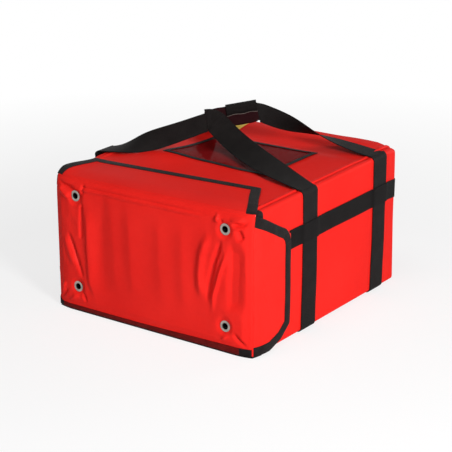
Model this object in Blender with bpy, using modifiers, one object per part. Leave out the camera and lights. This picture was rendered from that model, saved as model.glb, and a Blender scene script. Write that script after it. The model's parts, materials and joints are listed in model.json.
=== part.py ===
"""Insulated delivery bag with a hinged front flap, side and top wings, a carrying handle and a foil lining.

Metres, +Z up. The origin is at the centre of the base, the flap faces -Y and the handle runs over the top.
Each soft layer lies one seat_gap from the next. The bag opens at the front: the flap turns about its bottom
edge, and its three wings fold over the top and the sides, where hook strips meet loop strips.
"""

import math
from itertools import combinations

import bmesh
import bpy
from mathutils import Matrix, Vector

# Driving dimensions of the bag body, outside its fabric
bag_width = 0.383
bag_height = 0.2197
shell_depth = 0.4136
fold_radius = 0.006
seam_inset = 0.012

# Layers
seat_gap = 0.0003
fabric_thick = 0.001
foam_thick = 0.015
lining_thick = 0.0006
tape_thick = 0.0005
tape_width = 0.015
binding_setback = 0.0025
mouth_tape_width = 0.012
hook_thick = 0.0008

# Webbing
webbing_width = 0.04
webbing_thick = 0.0015
band_width = 0.03
band_thick = 0.0012
band_height = 0.1625
band_corner_radius = 0.003
front_strap_setback = 0.1502
strap_spacing = 0.2105
right_departure_angle = math.radians(62)
left_departure_angle = math.radians(52)

# Front flap
flap_foam_thick = 0.005
mouth_clearance = 0.0005
flap_axis_height = 0.0033
flap_base_drop = 0.0012
flap_tape_width = 0.008
hinge_tape_reach = 0.012

# Wings of the flap
top_wing_depth = 0.104
top_wing_taper = 0.058
side_wing_depth = 0.0935
side_wing_shoulder_drop = 0.045
side_wing_top_margin = 0.0035
chamfer_start_depth = 0.039
chamfer_mid_depth = 0.07
chamfer_mid_height = 0.011
chamfer_end_height = 0.03
wing_foot_height = 0.0021

# Hook and loop strips
strip_width = 0.025
strip_edge_gap = 0.0035
top_strip_length = 0.2
side_strip_length = 0.11
side_strip_height = 0.1

# Vent eyelets
eyelet_side_inset = 0.0495
eyelet_rise = 0.04
eyelet_drop = 0.03
eyelet_bore_radius = 0.0052
eyelet_wall = 0.0006
eyelet_flange_radius = 0.0088
eyelet_flange_thick = 0.0008
eyelet_edge_drop = 0.0004
washer_radius = 0.0085
washer_thick = 0.0006

# Document window and the plain patch on the top
window_width = 0.2
window_depth = 0.15
window_offset = 0.028
window_frame_width = 0.0075
window_frame_thick = 0.0008
film_thick = 0.0003
patch_width = 0.06
patch_depth = 0.036
patch_thick = 0.0008
patch_side_inset = 0.0715
patch_back_inset = 0.046
patch_corner_radius = 0.004

# Crown of the top behind the top wing: its rise at the bag's middle, and the slopes of its four faces as shares
crown_rise = 0.01
crown_setback = 0.003
crown_rear_share = 0.02
crown_front_share = 0.12
crown_side_share = 0.2

# Grip: its centre, how far it is turned and tilted, and the pieces on it
grip_left = 0.021
grip_back = 0.036
grip_rise = 0.068
grip_turn = math.radians(36)
grip_tilt = math.radians(10)
grip_length = 0.085
gathered_width = 0.028
wrap_wall = 0.0025
wrap_hollow = 0.005
wrap_corner_radius = 0.003
front_web_length = 0.016
front_web_height = 0.036
flap_lip_length = 0.0645
flap_lip_drop = 0.014
flap_lip_thick = 0.0018
fold_clearance = 0.0015

# Handle legs: the share of a leg's length that its stiff ends keep straight, and how late it twists
right_start_share = 0.34
left_start_share = 0.14
leg_finish_share = 0.3
leg_twist_shares = {"front_right": 0.9, "front_left": 1.0, "rear_right": 1.5, "rear_left": 1.0}

# Fineness of the round shapes, and how far cutters overrun
fold_segments = 5
leg_segments = 14
turned_steps = 20
weld_distance = 0.00001
mitre_limit_share = 0.4
facing_share = 0.5
overrun = 0.01

# Levels and faces that follow from the sizes
wing_stack = 3 * seat_gap + 2 * hook_thick + fabric_thick
bound_stack = seat_gap + tape_thick
half_width = bag_width / 2
base_z = webbing_thick + seat_gap
top_z = base_z + bag_height
wing_half_width = half_width + wing_stack
wing_top_z = top_z + wing_stack
flap_stack = fabric_thick + seat_gap + flap_foam_thick + seat_gap + lining_thick
closure_depth = flap_stack + bound_stack + mouth_clearance + bound_stack
eyelet_proud = seat_gap + eyelet_flange_thick
band_proud = seat_gap + band_thick
overall_depth = eyelet_proud + closure_depth + shell_depth + band_proud
front_y = eyelet_proud - overall_depth / 2
rim_y = front_y + closure_depth
back_y = rim_y + shell_depth
board_half = half_width - fabric_thick - seat_gap
board_low = base_z + fabric_thick + seat_gap
board_high = top_z - fabric_thick - seat_gap
board_back = back_y - fabric_thick - seat_gap
cavity_half = board_half - foam_thick - seat_gap
cavity_low = board_low + foam_thick + seat_gap
cavity_high = board_high - foam_thick - seat_gap
cavity_back = board_back - foam_thick - seat_gap
flap_half_width = wing_half_width - fabric_thick - bound_stack - seat_gap
flap_low = flap_axis_height - flap_base_drop + bound_stack
flap_high = wing_top_z - fabric_thick - bound_stack - seat_gap
top_half_width = half_width - seam_inset - seat_gap
crown_start = front_y + top_wing_depth + crown_setback
strap_places = {"front": front_y + front_strap_setback}
strap_places["rear"] = strap_places["front"] + strap_spacing
wing_tape_back = front_y + side_wing_depth
top_strip_y = front_y + top_wing_depth - tape_width - strip_edge_gap - strip_width
side_strip_y = wing_tape_back - tape_width - strip_edge_gap - strip_width
wrap_inner_half = gathered_width / 2 + seat_gap
wrap_half_height = wrap_inner_half + wrap_wall
wrap_half_thick = wrap_hollow / 2 + wrap_wall
front_web_low = -grip_length / 2

# Planes: the matrix columns are where an outline's x, y and outward direction go
top_plane = Matrix.Identity(3)
front_plane = Matrix(((1, 0, 0), (0, 0, 1), (0, -1, 0))).transposed()
right_plane = Matrix(((0, 1, 0), (0, 0, 1), (1, 0, 0))).transposed()
left_plane = Matrix(((0, -1, 0), (0, 0, 1), (-1, 0, 0))).transposed()


def clear_scene():
    """Removes every object of the file this runs in."""
    for thing in list(bpy.data.objects):
        bpy.data.objects.remove(thing)


def new_collection(name, hidden=False):
    """Makes a collection in the scene."""
    made = bpy.data.collections.new(name)
    bpy.context.scene.collection.children.link(made)
    made.hide_render = hidden
    return made


def make_material(name, colour, roughness, metallic=0.0, alpha=1.0):
    """A Principled material with one colour."""
    made = bpy.data.materials.new(name)
    made.use_nodes = True
    shader = made.node_tree.nodes["Principled BSDF"]
    shader.inputs["Base Color"].default_value = (*colour, 1)
    shader.inputs["Roughness"].default_value = roughness
    shader.inputs["Metallic"].default_value = metallic
    shader.inputs["Alpha"].default_value = alpha
    return made


def make_empty(name, place, turn=None, parent=None):
    """An empty on a joint's axis, which carries the pieces that move about it."""
    empty = bpy.data.objects.new(name, None)
    bag.objects.link(empty)
    if parent:
        empty.parent = parent
        empty.location = Vector(place) - parent.location
    else:
        empty.location = place
    if turn:
        empty.rotation_euler = turn.to_euler()
    return empty


def place_piece(piece, place, plane, parent, material, home):
    """Puts a new piece at a place in a plane, on its parent, with its material."""
    home.objects.link(piece)
    piece.rotation_euler = plane.to_euler()
    piece.location = place
    if parent:
        piece.parent = parent
        piece.location = parent_place(parent, place)
    if material:
        piece.data.materials.append(material)
    return piece


def parent_place(parent, place):
    """A world place in the parent's terms. The grip's frame gives its places in its own terms already."""
    if parent.name == "grip_frame":
        return Vector(place)
    origin = Vector((0, 0, 0))
    while parent:
        origin += parent.location
        parent = parent.parent
    return Vector(place) - origin


def make_box(name, low, high, material, parent=None):
    """A box from its lowest to its highest corner, with its origin at its centre."""
    low, high = Vector(low), Vector(high)
    mesh = bpy.data.meshes.new(name)
    shape = bmesh.new()
    bmesh.ops.create_cube(shape, size=1)
    bmesh.ops.scale(shape, vec=high - low, verts=shape.verts)
    shape.to_mesh(mesh)
    shape.free()
    piece = bpy.data.objects.new(name, mesh)
    return place_piece(piece, (low + high) / 2, top_plane, parent, material, bag)


def make_plate(name, outlines, depth, place, plane, material, parent=None, home=None):
    """Flat outlines, the first one outside and the others holes, thickened both ways from their plane."""
    curve = bpy.data.curves.new(name, "CURVE")
    curve.dimensions = "2D"
    curve.fill_mode = "BOTH"
    curve.extrude = depth / 2
    for outline in outlines:
        spline = curve.splines.new("POLY")
        spline.points.add(len(outline) - 1)
        for point, (x, y) in zip(spline.points, outline):
            point.co = (x, y, 0, 1)
        spline.use_cyclic_u = True
    piece = bpy.data.objects.new(name, curve)
    return place_piece(piece, place, plane, parent, material, home or bag)


def to_mesh(piece):
    """Turns a plate into a mesh with its caps welded, so that it can be cut."""
    bpy.context.view_layer.update()
    graph = bpy.context.evaluated_depsgraph_get()
    mesh = bpy.data.meshes.new_from_object(piece.evaluated_get(graph))
    shape = bmesh.new()
    shape.from_mesh(mesh)
    bmesh.ops.remove_doubles(shape, verts=shape.verts, dist=weld_distance)
    bmesh.ops.recalc_face_normals(shape, faces=shape.faces)
    shape.to_mesh(mesh)
    shape.free()
    name, home, parent = piece.name, piece.users_collection[0], piece.parent
    world = piece.matrix_world.copy()
    local = piece.matrix_local.copy()
    bpy.data.objects.remove(piece)
    made = bpy.data.objects.new(name, mesh)
    home.objects.link(made)
    if parent:
        made.parent = parent
        made.matrix_local = local
    else:
        made.matrix_world = world
    return made


def cut(piece, cutter):
    """Cuts one piece with another, which then shows as wire only."""
    cutter.display_type = "WIRE"
    cutter.hide_render = True
    step = piece.modifiers.new("cut_" + cutter.name, "BOOLEAN")
    step.operation = "DIFFERENCE"
    step.solver = "EXACT"
    step.object = cutter


def arc(centre, radius, start, finish, segments=fold_segments):
    """Points along an arc, both ends included. Angles are in quarter turns."""
    points = []
    for step in range(segments + 1):
        angle = math.pi / 2 * (start + (finish - start) * step / segments)
        points.append((centre[0] + radius * math.cos(angle), centre[1] + radius * math.sin(angle)))
    return points


def rounded_box(half, low, high, radius):
    """A closed outline with four round corners, anticlockwise from the lower right."""
    points = arc((half - radius, low + radius), radius, 3, 4)
    points += arc((half - radius, high - radius), radius, 0, 1)
    points += arc((radius - half, high - radius), radius, 1, 2)
    points += arc((radius - half, low + radius), radius, 2, 3)
    return points


def plain_box(half, low, high):
    """A closed outline with four sharp corners."""
    return [(half, low), (half, high), (-half, high), (-half, low)]


def strip_outline(path, thickness):
    """The closed outline of a strip of this thickness that follows an open path."""
    left, right = [], []
    for index, point in enumerate(path):
        here = Vector(point)
        before = Vector(path[max(index - 1, 0)])
        after = Vector(path[min(index + 1, len(path) - 1)])
        arriving = (here - before).normalized() if index else (after - here).normalized()
        leaving = (after - here).normalized() if index < len(path) - 1 else arriving
        middle = (arriving + leaving).normalized()
        normal = Vector((-middle.y, middle.x))
        reach = thickness / 2 / max(normal.dot(Vector((-arriving.y, arriving.x))), mitre_limit_share)
        left.append(tuple(here + normal * reach))
        right.append(tuple(here - normal * reach))
    return left + right[::-1]


def inset(path, distance, fold=0.0):
    """Moves an open path to its right by a distance, and ends it on the fold line, whose height is fold."""
    lines = []
    for start, finish in zip(path, path[1:]):
        along = (Vector(finish) - Vector(start)).normalized()
        aside = Vector((along.y, -along.x)) * distance
        lines.append((Vector(start) + aside, along))
    corners = [on_fold(*lines[0], fold)]
    for (place, along), (next_place, next_along) in zip(lines, lines[1:]):
        cross = along.x * next_along.y - along.y * next_along.x
        gap = next_place - place
        corners.append(tuple(place + along * ((gap.x * next_along.y - gap.y * next_along.x) / cross)))
    corners.append(on_fold(*lines[-1], fold))
    return corners


def on_fold(place, along, fold):
    """Where a line meets the fold line."""
    return tuple(place + along * ((fold - place.y) / along.y))


def corner_strap_path(offset, top_angle):
    """A strap's path up one side and under the bottom, at an offset outside the fabric: right half, bottom first."""
    centre_x = half_width - fold_radius
    radius = fold_radius + offset
    path = arc((centre_x, base_z + fold_radius), radius, 3, 4)
    path += arc((centre_x, top_z - fold_radius), radius, 0, top_angle / (math.pi / 2))
    return path


def mirrored(path):
    """The left half of a path, from its far end to the middle."""
    return [(-x, y) for x, y in reversed(path)]


def make_body():
    """The fabric, the foam boards and the foil lining."""
    mid = fabric_thick / 2
    turned = (half_width - seam_inset, top_z - mid)
    half = corner_strap_path(-mid, math.pi / 2) + [turned]
    outline = strip_outline(mirrored(half) + half, fabric_thick)
    middle_y = (rim_y + back_y) / 2
    place = (0, middle_y, 0)
    make_plate("wrap_skin", [outline], shell_depth, place, front_plane, red_fabric)
    low = (-top_half_width, rim_y, top_z - fabric_thick)
    make_box("top_skin", low, (top_half_width, back_y, top_z), red_fabric)
    inner = fabric_thick + seat_gap
    rear = rounded_box(half_width - inner, base_z + inner, top_z - inner, fold_radius - inner)
    rear_place = (0, back_y - fabric_thick / 2, 0)
    make_plate("rear_skin", [rear], fabric_thick, rear_place, front_plane, red_fabric)
    make_boards(fold_radius - inner)
    make_lining()
    make_mouth_binding()


def make_boards(corner):
    """Five foam boards: the rear one closes the other four."""
    rear = rounded_box(board_half, board_low, board_high, corner)
    rear_place = (0, board_back - foam_thick / 2, 0)
    make_plate("rear_board", [rear], foam_thick, rear_place, front_plane, foam)
    length = cavity_back - rim_y
    place = (0, (rim_y + cavity_back) / 2, 0)
    floor = board_low + foam_thick
    bottom = arc((board_half - corner, board_low + corner), corner, 3, 4)
    bottom += [(board_half, floor), (-board_half, floor)]
    bottom += arc((corner - board_half, board_low + corner), corner, 2, 3)
    make_plate("bottom_board", [bottom], length, place, front_plane, foam)
    ceiling = board_high - foam_thick
    top = arc((board_half - corner, board_high - corner), corner, 0, 1)
    top += arc((corner - board_half, board_high - corner), corner, 1, 2)
    top += [(-board_half, ceiling), (board_half, ceiling)]
    make_plate("top_board", [top], length, place, front_plane, foam)
    for side, name in ((1, "right_board"), (-1, "left_board")):
        inside = side * (board_half - foam_thick)
        outside = side * board_half
        low = (min(inside, outside), rim_y, floor + seat_gap)
        high = (max(inside, outside), cavity_back, ceiling - seat_gap)
        make_box(name, low, high, foam)


def make_lining():
    """The foil: a box without its front, thickened inwards."""
    low = Vector((-cavity_half, rim_y, cavity_low))
    high = Vector((cavity_half, cavity_back, cavity_high))
    lining = make_box("foil_lining", low, high, foil)
    shape = bmesh.new()
    shape.from_mesh(lining.data)
    front = [face for face in shape.faces if face.normal.y < -facing_share]
    bmesh.ops.delete(shape, geom=front, context="FACES_ONLY")
    shape.to_mesh(lining.data)
    shape.free()
    wall = lining.modifiers.new("foil_wall", "SOLIDIFY")
    wall.thickness = lining_thick
    wall.offset = -1
    wall.use_even_offset = True


def make_mouth_binding():
    """Tape folded over the whole rim of the mouth: fabric, board and lining lie in its groove."""
    outer = bound_stack
    inside_half = cavity_half - lining_thick
    inside_low = cavity_low + lining_thick
    inside_high = cavity_high - lining_thick
    outline = rounded_box(half_width + outer, base_z - outer, top_z + outer, fold_radius + outer)
    opening = plain_box(inside_half - outer, inside_low + outer, inside_high - outer)
    depth = bound_stack + mouth_tape_width
    place = (0, rim_y - bound_stack + depth / 2, 0)
    binding = to_mesh(make_plate("mouth_binding", [outline, opening], depth, place, front_plane, tape))
    groove_out = rounded_box(half_width + seat_gap, base_z - seat_gap, top_z + seat_gap, fold_radius + seat_gap)
    groove_in = plain_box(inside_half - seat_gap, inside_low + seat_gap, inside_high - seat_gap)
    groove_depth = seat_gap + mouth_tape_width + overrun
    groove_place = (0, rim_y - seat_gap + groove_depth / 2, 0)
    groove = make_plate(
        "rim_groove", [groove_out, groove_in], groove_depth, groove_place, front_plane, None, home=cutters
    )
    cut(binding, to_mesh(groove))


def make_straps():
    """Two webbing runs up both sides and under the bottom."""
    offset = seat_gap + webbing_thick / 2
    right = corner_strap_path(offset, right_departure_angle)
    left = mirrored(corner_strap_path(offset, left_departure_angle))
    outline = strip_outline(left + right, webbing_thick)
    for name, place in strap_places.items():
        make_plate("strap_" + name, [outline], webbing_width, (0, place, 0), front_plane, webbing)


def make_band():
    """The band round both sides and the rear, over the webbing runs."""
    side_x = half_width + seat_gap + webbing_thick + seat_gap + band_thick / 2
    rear_y = back_y + seat_gap + band_thick / 2
    centre = (side_x - band_corner_radius, rear_y - band_corner_radius)
    right = [(side_x, wing_tape_back + seat_gap)] + arc(centre, band_corner_radius, 0, 1)
    path = right + mirrored(right)
    outline = strip_outline(path, band_thick)
    make_plate("side_band", [outline], band_width, (0, 0, band_height), top_plane, webbing)


def make_hinge_tape():
    """The tape under the mouth's lower rim, on which the flap turns."""
    tape_top = base_z - bound_stack - seat_gap
    low = (-flap_half_width, front_y + bound_stack, tape_top - tape_thick)
    high = (flap_half_width, rim_y + hinge_tape_reach, tape_top)
    make_box("hinge_tape", low, high, tape)


def make_top_pieces():
    """The document window, the plain patch and the loop strip for the top wing."""
    centre_y = (rim_y + back_y) / 2 + window_offset
    film_half = window_width / 2 - window_frame_width / 2
    film_reach = window_depth / 2 - window_frame_width / 2
    film_low = top_z + seat_gap
    low = (-film_half, centre_y - film_reach, film_low)
    high = (film_half, centre_y + film_reach, film_low + film_thick)
    make_box("window_film", low, high, film)
    half, reach = window_width / 2, window_depth / 2
    outer = plain_box(half, -reach, reach)
    inner = plain_box(half - window_frame_width, window_frame_width - reach, reach - window_frame_width)
    frame_z = film_low + film_thick + seat_gap + window_frame_thick / 2
    place = (0, centre_y, frame_z)
    make_plate("window_frame", [outer, inner], window_frame_thick, place, top_plane, tape)
    outline = rounded_box(patch_width / 2, -patch_depth / 2, patch_depth / 2, patch_corner_radius)
    patch_x = patch_side_inset - half_width
    place = (patch_x, back_y - patch_back_inset, top_z + seat_gap + patch_thick / 2)
    make_plate("plain_patch", [outline], patch_thick, place, top_plane, patch_fabric)
    low = (-top_strip_length / 2, top_strip_y, top_z + seat_gap)
    high = (top_strip_length / 2, top_strip_y + strip_width, top_z + seat_gap + hook_thick)
    make_box("top_loop_strip", low, high, hook_tape)


def crown_faces():
    """The sloping faces of the crown, each as its rise along x, its rise along y and its height at the origin."""
    side = crown_side_share * top_half_width
    return [
        (0, crown_rear_share, crown_rise),
        (0, crown_front_share, -crown_front_share * crown_start),
        (-crown_side_share, 0, side),
        (crown_side_share, 0, side),
    ]


def crown_at(x, y):
    """How far the crown stands above a flat top."""
    return max(0, min(along_x * x + along_y * y + level for along_x, along_y, level in crown_faces()))


def raise_crown(name, floor):
    """Cuts a piece where two faces of the crown meet, and lifts what is above a level."""
    piece = to_mesh(bpy.data.objects[name])
    place = piece.matrix_world.copy()
    shape = bmesh.new()
    shape.from_mesh(piece.data)
    shape.transform(place)
    for first, second in combinations(crown_faces() + [(0, 0, 0)], 2):
        across = Vector((first[0] - second[0], first[1] - second[1], 0))
        crease = across * (second[2] - first[2]) / across.length_squared
        every = shape.verts[:] + shape.edges[:] + shape.faces[:]
        bmesh.ops.bisect_plane(shape, geom=every, dist=weld_distance, plane_co=crease, plane_no=across)
    for vert in shape.verts:
        if vert.co.z > floor:
            vert.co.z += crown_at(vert.co.x, vert.co.y)
    shape.transform(place.inverted())
    shape.to_mesh(piece.data)
    shape.free()


def make_crown():
    """The crowned top: both boards and the rear's fabric rise to it, and the pieces on top follow it."""
    for name in ("top_board", "rear_board", "rear_skin"):
        raise_crown(name, board_high - foam_thick / 2)
    for name in ("top_skin", "window_film", "window_frame", "plain_patch"):
        raise_crown(name, cavity_high)


def make_side_strips(side, name):
    """The loop strip on one side of the bag."""
    near = side * (half_width + seat_gap)
    far = side * (half_width + seat_gap + hook_thick)
    low = (min(near, far), side_strip_y, side_strip_height - side_strip_length / 2)
    high = (max(near, far), side_strip_y + strip_width, side_strip_height + side_strip_length / 2)
    make_box(name + "_loop_strip", low, high, hook_tape)


def make_flap():
    """The front panel of the flap: fabric, thin foam, foil and the tape along its bottom edge."""
    layers = (
        ("flap_skin", fabric_thick, 0.0, red_fabric),
        ("flap_foam", flap_foam_thick, fabric_thick + seat_gap, foam),
        ("flap_lining", lining_thick, flap_stack - lining_thick, foil),
    )
    vent = make_vent_cutter()
    for name, thickness, behind, material in layers:
        low = (-flap_half_width, front_y + behind, flap_low)
        high = (flap_half_width, front_y + behind + thickness, flap_high)
        cut(make_box(name, low, high, material, flap_hinge), vent)
    mid = seat_gap + tape_thick / 2
    rise = flap_low + flap_tape_width
    path = [(-mid, rise), (-mid, flap_low - mid), (flap_stack + mid, flap_low - mid), (flap_stack + mid, rise)]
    outline = strip_outline(path, tape_thick)
    place = (0, front_y, 0)
    width = 2 * flap_half_width
    make_plate("flap_bottom_binding", [outline], width, place, right_plane, tape, flap_hinge)


def eyelet_places():
    """The four vents, named, as x and z."""
    across = flap_half_width - eyelet_side_inset
    low = flap_low + eyelet_rise
    high = flap_high - eyelet_drop
    return {
        "lower_left": (-across, low),
        "lower_right": (across, low),
        "upper_left": (-across, high),
        "upper_right": (across, high),
    }


def make_vent_cutter():
    """Four round bars through the flap's layers, one at each vent."""
    mesh = bpy.data.meshes.new("vent_cutter")
    shape = bmesh.new()
    radius = eyelet_bore_radius + eyelet_wall + seat_gap
    turn = Matrix.Rotation(math.pi / 2, 4, "X")
    for x, z in eyelet_places().values():
        place = Matrix.Translation((x, front_y + flap_stack / 2, z)) @ turn
        depth = flap_stack + 2 * overrun
        bmesh.ops.create_cone(
            shape, cap_ends=True, segments=turned_steps, radius1=radius, radius2=radius, depth=depth, matrix=place
        )
    shape.to_mesh(mesh)
    shape.free()
    cutter = bpy.data.objects.new("vent_cutter", mesh)
    cutters.objects.link(cutter)
    return cutter


def make_turned(name, profile, place, material, parent):
    """A closed profile of radius and height, turned about the outward direction of the flap."""
    mesh = bpy.data.meshes.new(name)
    shape = bmesh.new()
    points = [shape.verts.new((radius, 0, height)) for radius, height in profile]
    for start, finish in zip(points, points[1:] + points[:1]):
        shape.edges.new((start, finish))
    shape.to_mesh(mesh)
    shape.free()
    piece = bpy.data.objects.new(name, mesh)
    place_piece(piece, place, front_plane, parent, material, bag)
    turn = piece.modifiers.new("turn", "SCREW")
    turn.steps = turned_steps
    turn.render_steps = turned_steps
    turn.use_merge_vertices = True
    turn.merge_threshold = weld_distance
    turn.use_smooth_shade = True
    return piece


def make_eyelets():
    """Metal eyelets pressed through the flap, each with a washer behind the foil."""
    barrel = eyelet_bore_radius + eyelet_wall
    crest = (eyelet_bore_radius + eyelet_flange_radius) / 2
    under = seat_gap
    proud = seat_gap + eyelet_flange_thick
    reach = flap_stack + seat_gap + washer_thick
    profile = [
        (crest, proud),
        (eyelet_flange_radius, proud - eyelet_edge_drop),
        (eyelet_flange_radius, under),
        (barrel, under),
        (barrel, -reach),
        (eyelet_bore_radius, -reach),
        (eyelet_bore_radius, proud - eyelet_edge_drop),
    ]
    washer_front = flap_stack + seat_gap
    hole = barrel + seat_gap
    washer = [
        (washer_radius, -washer_front),
        (washer_radius, -reach),
        (hole, -reach),
        (hole, -washer_front),
    ]
    for name, (x, z) in eyelet_places().items():
        place = (x, front_y, z)
        make_turned("eyelet_" + name, profile, place, nickel, flap_hinge)
        make_turned("eyelet_washer_" + name, washer, place, nickel, flap_hinge)


def make_wing(name, path, shape_to_plane, place, plane, hinge):
    """A wing of the flap: its fabric, and tape folded over its free edges. The path starts and ends on the fold."""
    middle = -fabric_thick / 2
    shift = plane @ Vector((0, 0, middle))
    centre = Vector(place) + shift
    skin = [shape_to_plane(*point) for point in inset(path, bound_stack, seat_gap)]
    make_plate(name + "_skin", [skin], fabric_thick, centre, plane, red_fabric, hinge)
    outer = inset(path, 0.0, binding_setback)
    inner = inset(path, tape_width, binding_setback)
    ring = [shape_to_plane(*point) for point in outer + inner[::-1]]
    thickness = fabric_thick + 2 * bound_stack
    binding = to_mesh(make_plate(name + "_binding", [ring], thickness, centre, plane, tape, hinge))
    groove = [shape_to_plane(*point) for point in inset(path, tape_thick, -overrun)]
    groove_depth = fabric_thick + 2 * seat_gap
    cutter = make_plate(name + "_groove", [groove], groove_depth, centre, plane, None, hinge, cutters)
    cut(binding, to_mesh(cutter))


def make_top_wing():
    """The wing that folds over the top, with its hook strip."""
    far = wing_half_width - top_wing_taper
    path = [(-wing_half_width, 0), (-far, top_wing_depth), (far, top_wing_depth), (wing_half_width, 0)]
    place = (0, front_y, wing_top_z)
    make_wing("top_wing", path, lambda along, away: (along, away), place, top_plane, top_wing_hinge)
    strip_z = wing_top_z - fabric_thick - seat_gap
    low = (-top_strip_length / 2, top_strip_y, strip_z - hook_thick)
    high = (top_strip_length / 2, top_strip_y + strip_width, strip_z)
    make_box("top_wing_hook_strip", low, high, hook_tape, top_wing_hinge)


def side_wing_path():
    """The free edges of a side wing, from the foot of the fold to its top: height along the fold, then depth."""
    top = wing_top_z - side_wing_top_margin
    return [
        (top, 0),
        (wing_top_z - side_wing_shoulder_drop, side_wing_depth),
        (chamfer_end_height, side_wing_depth),
        (chamfer_mid_height, chamfer_mid_depth),
        (wing_foot_height, chamfer_start_depth),
        (wing_foot_height, 0),
    ][::-1]


def make_side_wing(side, name, hinge):
    """A wing that folds round one side, with its hook strip."""
    plane = right_plane if side > 0 else left_plane
    place = (side * wing_half_width, front_y, 0)
    make_wing(
        name + "_wing", side_wing_path(), lambda along, away: (side * away, along), place, plane, hinge
    )
    far = side * (wing_half_width - fabric_thick - seat_gap)
    near = side * (wing_half_width - fabric_thick - seat_gap - hook_thick)
    low = (min(near, far), side_strip_y, side_strip_height - side_strip_length / 2)
    high = (max(near, far), side_strip_y + strip_width, side_strip_height + side_strip_length / 2)
    make_box(name + "_wing_hook_strip", low, high, hook_tape, hinge)


def make_grip():
    """The grip: the webs of both loops, the padded wrap and its closing flap, in the grip's own frame."""
    reach = grip_length / 2
    half_web = webbing_thick / 2
    low = (-reach, -half_web, -gathered_width / 2)
    high = (reach, half_web, gathered_width / 2)
    make_box("grip_web_rear", low, high, webbing, grip_frame)
    inner = plain_box(wrap_hollow / 2, -wrap_inner_half, wrap_inner_half)
    outer = rounded_box(wrap_half_thick, -wrap_half_height, wrap_half_height, wrap_corner_radius)
    make_plate("grip_wrap", [outer, inner], grip_length, (0, 0, 0), right_plane, webbing, grip_frame)
    face = -wrap_half_thick - seat_gap
    low = (front_web_low, face - webbing_thick, -front_web_height / 2)
    high = (front_web_low + front_web_length, face, front_web_height / 2)
    make_box("grip_web_front", low, high, webbing, grip_frame)
    lip_mid = seat_gap + flap_lip_thick / 2
    over = wrap_half_height + lip_mid
    before = -wrap_half_thick - lip_mid
    path = [(wrap_half_thick, over), (before, over), (before, wrap_half_height - flap_lip_drop)]
    place = Vector((reach - flap_lip_length / 2, 0, 0))
    outline = strip_outline([(y - wrap_half_thick, z - over) for y, z in path], flap_lip_thick)
    hinge_shift = Vector((0, wrap_half_thick, over))
    wrap_flap_hinge.location = hinge_shift
    flap = make_plate(
        "wrap_flap", [outline], flap_lip_length, (0, 0, 0), right_plane, webbing, None
    )
    flap.parent = wrap_flap_hinge
    flap.location = place


def leg_ends():
    """Each leg's side, strap and end on the grip: along it, behind its middle, its width there and which edge is up."""
    left = -grip_length / 2 - fold_clearance
    right = grip_length / 2 + fold_clearance
    front_face = -wrap_half_thick - seat_gap - webbing_thick / 2
    return {
        "front_right": (1, "front", front_web_low + front_web_length + fold_clearance, front_face, front_web_height),
        "front_left": (-1, "front", front_web_low - fold_clearance, front_face, -front_web_height),
        "rear_right": (1, "rear", right, 0.0, -gathered_width),
        "rear_left": (-1, "rear", left, 0.0, gathered_width),
    }


def bezier(start, first, second, finish, share):
    """A point on a cubic curve."""
    rest = 1 - share
    weights = (rest**3, 3 * rest**2 * share, 3 * rest * share**2, share**3)
    return sum((point * weight for point, weight in zip((start, first, second, finish), weights)), Vector())


def make_leg(name, side, strap, along, behind, end_width):
    """One leg of a loop, from the strap's end at the top edge to the grip. It twists from flat to upright."""
    radius = fold_radius + seat_gap + webbing_thick / 2
    angle = right_departure_angle if side > 0 else left_departure_angle
    corner = Vector((side * (half_width - fold_radius), strap_places[strap], top_z - fold_radius))
    outward = Vector((side * math.cos(angle), 0, math.sin(angle)))
    leaving = Vector((-side * math.sin(angle), 0, math.cos(angle)))
    start = corner + outward * radius + leaving * seat_gap
    finish = grip_matrix @ Vector((along, behind, 0))
    up = grip_matrix.to_3x3() @ Vector((0, 0, 1))
    length = (finish - start).length
    start_share = right_start_share if side > 0 else left_start_share
    first = start + leaving * length * start_share
    second = finish + (first - finish) * leg_finish_share
    lateness = leg_twist_shares[name]
    mesh = bpy.data.meshes.new("handle_leg_" + name)
    shape = bmesh.new()
    rows = []
    for step in range(leg_segments + 1):
        share = step / leg_segments
        centre = bezier(start, first, second, finish, share)
        turned = smooth_share(share**lateness)
        width = abs(end_width) * turned + webbing_width * (1 - turned)
        upright = up if end_width > 0 else -up
        across = (Vector((0, 1, 0)) * (1 - turned) + upright * turned).normalized()
        edges = [centre - across * width / 2, centre + across * width / 2]
        rows.append([shape.verts.new(point) for point in edges])
    for row, next_row in zip(rows, rows[1:]):
        shape.faces.new((row[0], row[1], next_row[1], next_row[0]))
    shape.to_mesh(mesh)
    shape.free()
    leg = bpy.data.objects.new("handle_leg_" + name, mesh)
    place_piece(leg, (0, 0, 0), top_plane, None, webbing, bag)
    body = leg.modifiers.new("webbing", "SOLIDIFY")
    body.thickness = webbing_thick
    body.offset = 0
    body.use_even_offset = True
    leg.data.shade_smooth()


def smooth_share(share):
    """A share that starts and ends gently."""
    return share * share * (3 - 2 * share)


clear_scene()
bag = new_collection("insulated_bag")
cutters = new_collection("cutters", hidden=True)
red_fabric = make_material("red_fabric", (0.68, 0.015, 0.012), 0.42)
webbing = make_material("black_webbing", (0.012, 0.012, 0.011), 0.7)
tape = make_material("black_binding", (0.014, 0.013, 0.013), 0.6)
hook_tape = make_material("hook_and_loop", (0.02, 0.02, 0.02), 0.95)
foam = make_material("foam", (0.75, 0.76, 0.74), 0.9)
foil = make_material("foil", (0.8, 0.81, 0.82), 0.25, 1.0)
nickel = make_material("nickel", (0.72, 0.7, 0.66), 0.25, 1.0)
film = make_material("clear_film", (0.85, 0.86, 0.87), 0.08, 0.0, 0.3)
patch_fabric = make_material("patch_fabric", (0.85, 0.6, 0.06), 0.6)

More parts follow.
